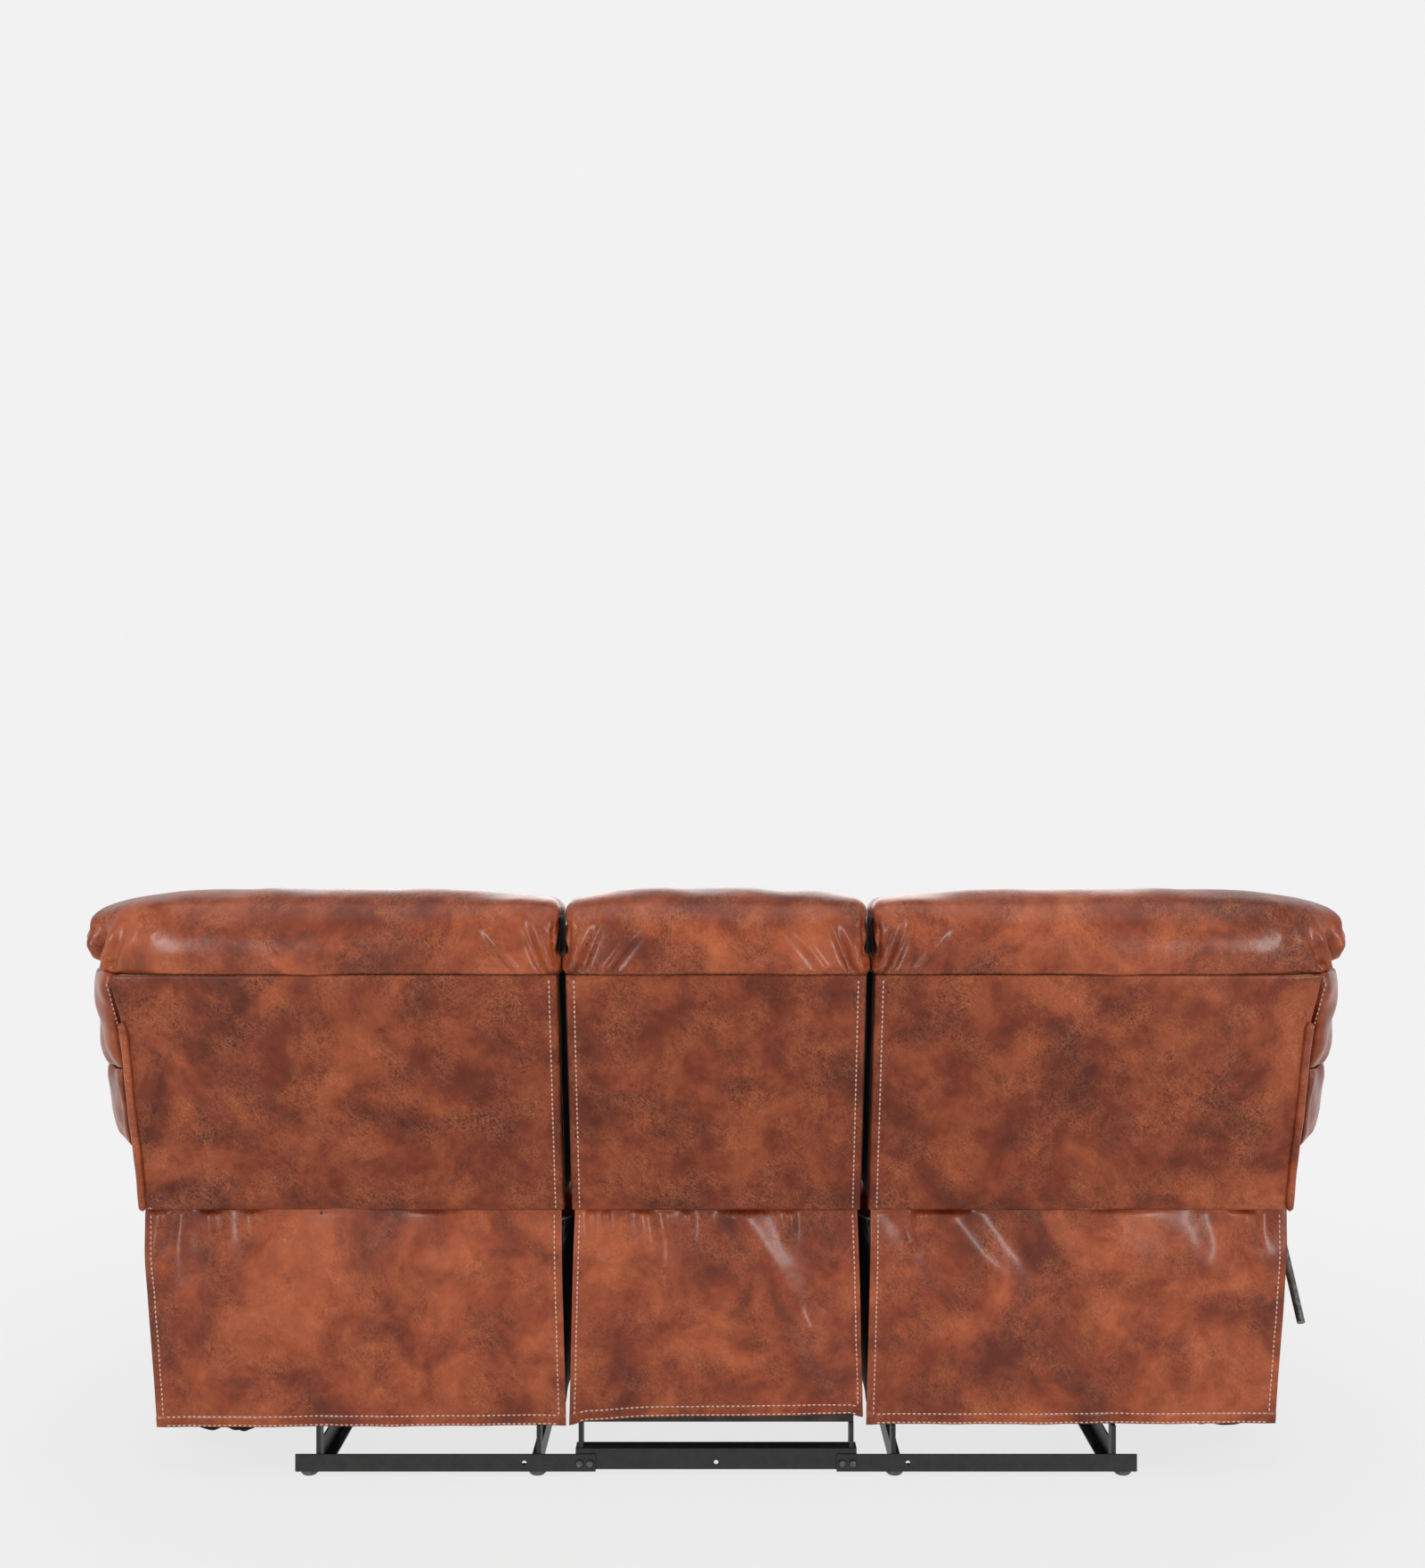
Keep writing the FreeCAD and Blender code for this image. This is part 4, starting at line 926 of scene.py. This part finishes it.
def wingGrid(z0, z1, seed, outline):
    # Rings in plan, an L that runs in front of the frame and back round its outer edge;
    # outline gives the outer reach at each height
    z = crowdedEnds(z0, z1, wingLook["rows"], 0.75)
    near = np.minimum(z - z0, z1 - z)
    pull = roundedPull(near, wingLook["endRadius"])
    reach = np.interp(z, *zip(*outline)) - 0.014 * pull
    rear = rearFace(z)
    front = rear - sofa["depth"] - 0.012 * (1 - pull) + 0.018 * pull
    inner = np.full_like(z, sofa["armInner"] + 0.002)
    frontBack = rear - sofa["frameDepth"] - 0.001
    edge = np.full_like(z, sofa["outerHigh"] + 0.001)
    back = rear - 0.014 - 0.010 * pull
    swept = (reach - edge) / 0.076
    plan = [(inner, frontBack), (inner, front), (reach, front + 0.012), (reach, back - 0.105 * swept),
            (edge + 0.030 * swept, back - 0.020), (edge + 0.006, back), (edge, back - 0.004),
            (edge, frontBack)]
    points = np.stack([np.stack(p, -1) for p in plan], 1)
    after = np.roll(points, -1, 1)
    lengths = np.linalg.norm(after - points, axis=-1).mean(0)
    counts = np.maximum(np.round(wingLook["around"] * lengths / lengths.sum()), 3).astype(int)
    parts = []
    for index, count in enumerate(counts):
        part = (np.arange(count) / count)[None, :, None]
        parts.append(points[:, index, None] + (after[:, index] - points[:, index])[:, None] * part)
    grid = stackRings(smoothRing(np.concatenate(parts, 1), 26), z)
    normal = outwards(grid, gridNormals(grid))
    relief = 0.0030 * softWaves(grid, 0.13, seed) + 0.0016 * softWaves(grid, 0.05, seed + 1)
    # Gathers at the seams above and below
    gathers = ripple(grid[..., 0] + grid[..., 1], 0.031, softWaves(grid, 0.1, seed + 2))
    relief += 0.0024 * np.exp(-near[:, None] / 0.022) * gathers
    free = fadeIn(grid[..., 0], sofa["outerHigh"] + 0.004, sofa["outerHigh"] + 0.02)
    ahead = fadeIn(rear[:, None] - grid[..., 1], 0.10, 0.16)
    grid = grid + normal * (relief * np.maximum(free, ahead))[..., None]
    return closeEnds(grid, (0.92, 0.75, 0.5, 0.2))


# Per tier: its lowest place, its seed and its outline as (height, distance from the middle)
wings = {
    "lower": (sofa["armTop"] + 0.012, 41,
              [(0.588, 1.018), (0.605, 1.036), (0.64, 1.047), (0.70, 1.058), (0.727, 1.060)]),
    "upper": (tiers["upper"][0], 45,
              [(0.727, 1.060), (0.76, 1.067), (0.80, 1.071), (0.85, 1.072), (0.892, 1.068)]),
}
for side in ("left", "right"):
    for tier, (z0, seed, outline) in wings.items():
        grid = wingGrid(z0, tiers[tier][1], seed, outline)
        wing = ringPiece(side + "_" + tier + "_wing", mirrorGrid(grid, side), leather)
        finishSoft(wing, side + "_back", side + "_back_" + tier + "_pad")


# The pale row down each side seam, from (height, distance from the middle) marks
sideSeam = {
    "marks": [(0.480, 0.9870), (0.560, 0.9870), (0.650, 0.9880), (0.760, 0.9930), (0.860, 1.0050),
              (0.884, 1.0110)],
    "proud": 0.0012,
}
for side in ("left", "right"):
    sign = 1 if side == "left" else -1
    zs = np.linspace(sideSeam["marks"][0][0], sideSeam["marks"][-1][0], 90)
    xs = sign * np.interp(zs, *zip(*sideSeam["marks"]))
    bpy.context.view_layer.update()
    # It lies on whichever piece stands rearmost, and is evened out along its length
    covers = [bpy.data.objects[side + name] for name in ("_rear_cover", "_lower_wing", "_upper_wing")]
    ys = np.max([surfaceDepth(piece, xs, zs) for piece in covers], 0)
    kept = ys > 0
    ys = np.convolve(np.pad(ys[kept], 2, mode="edge"), np.ones(5) / 5, mode="valid")
    row = stitchRow(np.stack([xs[kept], ys + sideSeam["proud"], zs[kept]], -1), (0, 1, 0), stitching)
    stitchPiece(side + "_side_seam_stitches", [row], side + "_back")
print("Wings made")


# Rolled welts on the outer edges of the rear panels

def tubePiece(name, path, radius, material, around=14):
    # A circle carried along a path; the frame turns as little as it can along the way
    path = np.asarray(path, float)
    tangent = np.gradient(path, axis=0)
    tangent /= np.linalg.norm(tangent, axis=1, keepdims=True)
    across = np.cross(tangent, np.array([0.0, 1.0, 0.02]))
    across /= np.linalg.norm(across, axis=1, keepdims=True)
    up = np.cross(across, tangent)
    turn = np.linspace(0, 2 * math.pi, around, endpoint=False)
    radius = np.broadcast_to(np.asarray(radius, float), (len(path),))
    rings = path[:, None] + radius[:, None, None] * (
        np.cos(turn)[:, None] * across[:, None] + np.sin(turn)[:, None] * up[:, None])
    return ringPiece(name, rings, material)


weltLook = {"radius": 0.0066, "bottom": 0.4765, "top": 0.812, "points": 70, "place": 0.9795}
for side in ("left", "right"):
    share = np.linspace(0, 1, weltLook["points"])
    z = weltLook["bottom"] + (weltLook["top"] - weltLook["bottom"]) * share
    x = weltLook["place"] + 0.0007 * np.sin(z * 31) + 0.002 * share ** 2
    y = rearFace(z) + 0.0025
    ends = np.minimum(share, 1 - share) * (weltLook["top"] - weltLook["bottom"]) / weltLook["radius"]
    radius = weltLook["radius"] * np.sqrt(1 - 0.9 * (1 - np.clip(ends, 0, 1)) ** 2)
    radius = radius * (1 + 0.04 * np.sin(z * 90))
    path = mirrorGrid(np.stack([x, y, z], -1), side)
    welt = tubePiece(side + "_rolled_welt", path, radius, leather)
    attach(welt, side + "_back")
print("Welts made")


# Seat cushions

seatLook = {"stations": 130, "around": 180, "rounds": 40, "endRadius": 0.040, "endInset": 0.014,
            "endDome": 0.003, "front": -0.455, "rear": 0.140, "bottom": 0.3953, "top": 0.478,
            "bolster": 0.325}


def boxCorners(rear, front, bottom, top):
    return [(rear, bottom), (front, bottom), (front, top), (rear, top)]


def seatGrid(x0, x1, seed):
    # A pillow section with bowed front and top
    corners = boxCorners(seatLook["rear"], seatLook["front"], seatLook["bottom"], seatLook["top"])
    grid = pillowGrid(x0, x1, corners, [0, 0.018, 0.024, 0.004], seatLook)
    normal = outwards(grid, gridNormals(grid))
    up = fadeIn(grid[..., 2], 0.43, 0.47)
    relief = 0.0022 * softWaves(grid, 0.18, seed) * up
    # A sewn line across the top marks the front bolster, with gathers along it
    line = grid[..., 1] + seatLook["bolster"] + 0.004 * np.sin(grid[..., 0] * 9)
    relief -= 0.007 * bell(line, 0.011) * up
    relief += 0.0014 * bell(line, 0.035) * up * ripple(grid[..., 0], 0.026)
    return grid + normal * relief[..., None]


for side in sides:
    grid = seatGrid(-0.245, 0.245, 55) if side == "centre" else seatGrid(0.262, 0.748, 51)
    makePad(side + "_seat_cushion_cover", bodyOf(side, "seat"), side + "_seat_cushion", side, grid,
            0.006)

frontLook = {"stations": 110, "around": 110, "rounds": 22, "endRadius": 0.030, "endInset": 0.010,
             "endDome": 0.002, "front": -0.466, "top": 0.3905, "seam": 0.250}


def frontPadGrid(x0, x1, rear, low, seed):
    # A thin upright pillow with a sewn line across its front
    corners = boxCorners(rear, frontLook["front"], low, frontLook["top"])
    grid = pillowGrid(x0, x1, corners, [0.0005, 0.008, 0.0005, 0], frontLook)
    normal = outwards(grid, gridNormals(grid))
    ahead = fadeIn(-grid[..., 1], 0.43, 0.455)
    relief = 0.0018 * softWaves(grid, 0.14, seed) * ahead
    line = grid[..., 2] - frontLook["seam"]
    relief -= 0.005 * bell(line, 0.010) * ahead
    relief += 0.0010 * bell(line, 0.03) * ahead * ripple(grid[..., 0], 0.024)
    return grid + normal * relief[..., None]


for side in ("left", "right"):
    grid = frontPadGrid(0.264, 0.746, -0.4275, 0.112, 61)
    makePad(side + "_footrest_cover", side + "_footrest", side + "_footrest_pad", side, grid, 0.004)
grid = frontPadGrid(-0.244, 0.244, -0.4205, 0.100, 65)
makePad("centre_front_cover", "base", "centre_front_panel", "centre", grid, 0.004)
print("Seat cushions and front pads made")


# Arms: a wrapped body, a crowned top pad and a sagging lining underneath

armLook = {"rows": 110, "around": 220, "corner": 0.012, "bottom": 0.060, "top": 0.556,
           "outer": (1.012, 1.036), "front": -0.465, "rear": 0.160}


def armGrid(seed):
    # Rounded rectangles in plan stacked from the bottom edge to the top one; the outside flares
    low, high = armLook["bottom"], armLook["top"]
    z = crowdedEnds(low, high, armLook["rows"], 0.5)
    outer = along(armLook["outer"], np.linspace(0, 1, armLook["rows"]))
    ring = boxRing(np.full_like(z, sofa["armInner"]), outer, np.full_like(z, armLook["front"]),
                   np.full_like(z, armLook["rear"]), armLook["around"], armLook["corner"])
    grid = stackRings(ring, z)
    normal = outwards(grid, gridNormals(grid))
    normal[..., 2] = 0
    away = np.minimum(z - low, high - z)[:, None]
    puff = np.clip(away / 0.05, 0, 1) ** 0.6
    outside = fadeIn(grid[..., 0], 0.90, 1.0)
    relief = (0.0026 * softWaves(grid, 0.19, seed) + 0.0008 * softWaves(grid, 0.06, seed + 1)) * puff
    relief = np.where(grid[..., 0] < 0.80, np.minimum(relief, 0) * 0.4, relief)
    relief -= 0.004 * roundedPull(away, 0.010)
    # Pulled cloth at the bottom corners
    relief += outside * creases(grid[..., 1], grid[..., 2], [
        (0.150, 0.065, 0.020, 0.300, 0.020, 0.004), (0.120, 0.065, -0.060, 0.240, 0.018, -0.004),
        (-0.450, 0.070, -0.330, 0.300, 0.020, 0.003)])
    return closeEnds(grid + normal * relief[..., None], (0.92, 0.7, 0.4, 0.15))


armPadLook = {"stations": 110, "around": 120, "rounds": 10, "endRadius": 0.03, "endInset": 0.008,
              "endDome": 0.002, "bottom": 0.5562, "top": 0.568}


def armPadGrid(seed):
    # A thin pillow on the arm with a slight crown
    corners = boxCorners(armLook["rear"], armLook["front"], armPadLook["bottom"], armPadLook["top"])
    grid = pillowGrid(0.756, armLook["outer"][1], corners, [0, 0.005, 0.008, 0.002], armPadLook)
    normal = outwards(grid, gridNormals(grid))
    up = fadeIn(grid[..., 2], 0.560, armPadLook["top"])
    relief = 0.0016 * softWaves(grid, 0.12, seed) * up
    return grid + normal * relief[..., None]


liningLook = {"columns": 70, "rows": 110, "inner": 0.765, "outer": 1.004, "front": -0.450, "rear": 0.154,
              "top": 0.0585, "thickness": 0.0012, "sag": {"left": 0.030, "right": 0.020}}


def liningGrid(side, seed):
    # A crumpled sheet under the arm that sags most at its rear edge
    inner, outer = liningLook["inner"], liningLook["outer"]
    x = np.linspace(inner, outer, liningLook["columns"])[:, None]
    y = np.linspace(liningLook["front"], liningLook["rear"], liningLook["rows"])[None, :]
    across = np.clip((x - inner) * (outer - x) / 0.0143, 0, 1)
    sag = fadeIn(y, -0.12, 0.13) * liningLook["sag"][side]
    flat = np.stack([x + 0 * y, y + 0 * x, 0 * x * y], -1)
    crumple = 0.5 + 0.5 * softWaves(flat, 0.075, seed)
    z = liningLook["top"] - sag * across ** 0.6 * (0.55 + 0.45 * crumple)
    z = z - 0.002 * np.abs(softWaves(flat, 0.03, seed + 1)) * across
    return np.stack([x + 0 * y, y + 0 * x, z], -1)


shadeCurtainLook = {"place": 0.2695, "front": -0.355, "rear": 0.262, "top": 0.397, "bottom": 0.105,
               "thickness": 0.0010}


def shadeCurtainGrid(seed):
    # A thin black sheet hanging from the seat's inner edge, with slight vertical folds: painted shade
    # standing for the shaded floor under the sofa, seen through the gap between the seats
    y = np.linspace(shadeCurtainLook["front"], shadeCurtainLook["rear"], 90)[:, None]
    z = np.linspace(shadeCurtainLook["top"], shadeCurtainLook["bottom"], 40)[None, :]
    flat = np.stack([0 * y * z, y + 0 * z, 0.3 * z + 0 * y], -1)
    drop = (shadeCurtainLook["top"] - z) / (shadeCurtainLook["top"] - shadeCurtainLook["bottom"])
    x = shadeCurtainLook["place"] + 0.0022 * drop * softWaves(flat, 0.10, seed)
    return np.stack([x, y + 0 * z, z + 0 * y], -1)


# Flat black sheets close the inner side of each back, between its pillows and its frame: painted shade, so
# the gaps between the backs look dark
sideShadeLook = {"gap": 0.0013, "bottom": 0.500, "top": 0.985, "rear": 0.016, "front": 0.206,
            "thickness": 0.0010}


def sideShadeSheetGrid(x):
    # Rows climb along the lean; the sheet narrows under the crown of the roll
    v = np.linspace(0, 1, 50)[None, :]
    u = np.linspace(0, 1, 30)[:, None]
    z = sideShadeLook["bottom"] + (sideShadeLook["top"] - sideShadeLook["bottom"]) * v + 0 * u
    narrow = 0.055 * fadeIn(z, 0.905, 0.985)
    ahead = sideShadeLook["rear"] + narrow + (sideShadeLook["front"] - 2.2 * narrow) * u
    flat = np.stack([0 * z, ahead, z], -1)
    return np.stack([x + 0.0003 * softWaves(flat, 0.14, 95), rearFace(z) - ahead, z], -1)


for name, owner, place in (("left", "left", sofa["inner"] - sideShadeLook["gap"]),
                           ("right", "right", -sofa["inner"] + sideShadeLook["gap"]),
                           ("centre_left", "centre", sofa["centreHalf"] + sideShadeLook["gap"]),
                           ("centre_right", "centre", -sofa["centreHalf"] - sideShadeLook["gap"])):
    grid = sideShadeSheetGrid(place)
    # Black sheet of painted shade for the gap beside this back
    cloth = sheetPiece(name + "_back_side_lining", grid, sideShadeLook["thickness"], lining)
    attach(cloth, bodyOf(owner, "back"))

for side in ("left", "right"):
    # Black sheet of painted shade in the gap beside this seat
    grid = mirrorGrid(shadeCurtainGrid(91), side)
    curtain = sheetPiece(side + "_inner_curtain", grid, shadeCurtainLook["thickness"], lining)
    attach(curtain, side + "_seat")
    wrap = ringPiece(side + "_arm_wrap", mirrorGrid(armGrid(71), side), leather)
    finishSoft(wrap, "base", side + "_arm_cover")
    makePad(side + "_arm_top_pad", "base", side + "_arm_pad", side, armPadGrid(75), 0.003)
    grid = mirrorGrid(liningGrid(side, 81 if side == "left" else 85), side)
    under = sheetPiece(side + "_arm_lining", grid, liningLook["thickness"], lining)
    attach(under, "base")
print("Arms made")


# CAD pieces that stay, with their finishes

finishes = {
    "cross_rails": railPaint, "centre_rail": railPaint, "side_members": linkPaint,
    "centre_posts": linkPaint, "arm_brackets": linkPaint, "rail_bolts": boltSteel,
    "glide_feet": glidePlastic, "arm_frames": rawBoard, "centre_seat_box": lining,
    "centre_back_frame": rawBoard,
}
endings = {
    "_back_frame": rawBoard, "_seat_springs": springSteel, "_lever": leverSteel,
    "_footrest_frame": linkPaint,
}
for name, node in nodes.items():
    chosen = finishes.get(name)
    if chosen is None:
        chosen = next((m for ending, m in endings.items() if name.endswith(ending)), linkPaint)
    node.data.materials.clear()
    node.data.materials.append(chosen)
print("Frame pieces painted")


# Floor and backdrop in one sweep, pale to the camera

stageLook = {"shade": 0.88, "roughness": 0.9, "toCamera": grey(0.888), "reach": 14.0, "bend": 2.5,
             "floorRings": (1.5, 4.0), "wallTop": 16.0, "nearShare": 0.86, "evenFrom": 0.9, "evenTo": 2.6}


def makeStage():
    # A round floor whose rim turns up into a wall: radius against height, spun round
    flatReach = stageLook["reach"] - stageLook["bend"]
    floor = [[radius, 0.0] for radius in (*stageLook["floorRings"], flatReach)]
    bend = np.linspace(0, math.pi / 2, 12)
    curve = np.stack([flatReach + stageLook["bend"] * np.sin(bend),
                      stageLook["bend"] - stageLook["bend"] * np.cos(bend)], -1)
    profile = np.concatenate([floor, curve[1:], [[stageLook["reach"], stageLook["wallTop"]]]])
    turn = np.linspace(0, 2 * math.pi, 96, endpoint=False)
    rings = np.stack([profile[:, 0, None] * np.cos(turn), profile[:, 0, None] * np.sin(turn),
                      profile[:, 1, None] + 0 * turn], -1)
    count, around = rings.shape[:2]
    first = np.arange(count - 1)[:, None] * around + np.arange(around)[None, :]
    after = np.arange(count - 1)[:, None] * around + (np.arange(around)[None, :] + 1) % around
    quads = np.stack([first, first + around, after + around, after], -1).reshape(-1, 4).tolist()
    quads.append(list(range(around)))
    mesh = bpy.data.meshes.new("studio_sweep")
    mesh.from_pydata(rings.reshape(-1, 3).tolist(), [], quads)
    mesh.polygons.foreach_set("use_smooth", np.ones(len(mesh.polygons), bool))
    sweep = bpy.data.objects.new("studio_sweep", mesh)
    scene.collection.objects.link(sweep)
    return sweep


def mathNode(n, links, operation, first, second):
    node = n.new("ShaderNodeMath")
    node.operation = operation
    setSockets(node, links, {0: first, 1: second})
    return node.outputs[0]


def stageMaterial():
    # Matt grey to the light, an even glow to the camera that fades to the matt grey near the sofa
    material, n, links, shader = newMaterial("Studio sweep")
    setSockets(shader, links, {"Base Color": (*grey(stageLook["shade"]), 1),
                               "Roughness": stageLook["roughness"]})
    rays = n.new("ShaderNodeLightPath").outputs
    shown = mathNode(n, links, "MAXIMUM", rays["Is Camera Ray"], rays["Is Glossy Ray"])
    shown = mathNode(n, links, "MAXIMUM", shown, rays["Is Transmission Ray"])
    distance = n.new("ShaderNodeVectorMath")
    distance.operation = "LENGTH"
    setSockets(distance, links, {0: objectCoordinates(n, links)})
    even = n.new("ShaderNodeMapRange")
    even.interpolation_type = "SMOOTHSTEP"
    setSockets(even, links, {
        "Value": distance.outputs["Value"], "From Min": stageLook["evenFrom"],
        "From Max": stageLook["evenTo"], "To Min": stageLook["nearShare"], "To Max": 1.0})
    glow = n.new("ShaderNodeEmission")
    setSockets(glow, links, {"Color": (*stageLook["toCamera"], 1)})
    mixer = n.new("ShaderNodeMixShader")
    share = mathNode(n, links, "MULTIPLY", shown, even.outputs["Result"])
    setSockets(mixer, links, {0: share, 1: shader.outputs[0], 2: glow.outputs[0]})
    links.new(mixer.outputs[0], n["Material Output"].inputs["Surface"])
    return material


makeStage().data.materials.append(stageMaterial())


# Light: a soft box above, a tall narrow strip low behind each side, and a wide one in front

strip = {"size": (0.34, 1.5), "power": 43.0}
lamps = [
    {"name": "overhead", "place": (0.0, 1.2, 3.6), "aim": (0.0, 0.2, 0.7), "size": (4.5, 2.6), "power": 46.0},
    dict(strip, name="rear_left", place=(2.5, 3.6, 0.90), aim=(0.3, 0.3, 0.45)),
    dict(strip, name="rear_right", place=(-2.5, 3.6, 0.90), aim=(-0.3, 0.3, 0.45)),
    {"name": "front", "place": (0.0, -4.0, 2.6), "aim": (0.0, 0.0, 0.5), "size": (4.0, 2.5), "power": 60.0},
]
for look in lamps:
    light = bpy.data.lights.new(look["name"], "AREA")
    light.shape = "RECTANGLE"
    light.size, light.size_y = look["size"]
    light.energy = look["power"]
    lamp = bpy.data.objects.new(look["name"], light)
    lamp.location = look["place"]
    aim = Vector(look["aim"]) - Vector(look["place"])
    lamp.rotation_euler = aim.to_track_quat("-Z", "Y").to_euler()
    scene.collection.objects.link(lamp)
worldLook = {"Color": (1, 1, 1, 1), "Strength": 0.42}
world = bpy.data.worlds.new("studio")
world.use_nodes = True
setSockets(world.node_tree.nodes["Background"], world.node_tree.links, worldLook)
scene.world = world
scene.view_settings.view_transform = "Standard"

cameraLook = {"place": (0.0, 3.190, 1.206), "lens": 38.25, "shift": -0.0023}
camera = bpy.data.cameras.new("photo_camera")
camera.sensor_fit = "VERTICAL"
camera.sensor_height = 36.0
camera.lens = cameraLook["lens"]
camera.shift_x = cameraLook["shift"]
viewer = bpy.data.objects.new("photo_camera", camera)
viewer.location = cameraLook["place"]
viewer.rotation_euler = (math.radians(90), 0, math.radians(180))
scene.collection.objects.link(viewer)
scene.camera = viewer
print("Stage, light and camera set")
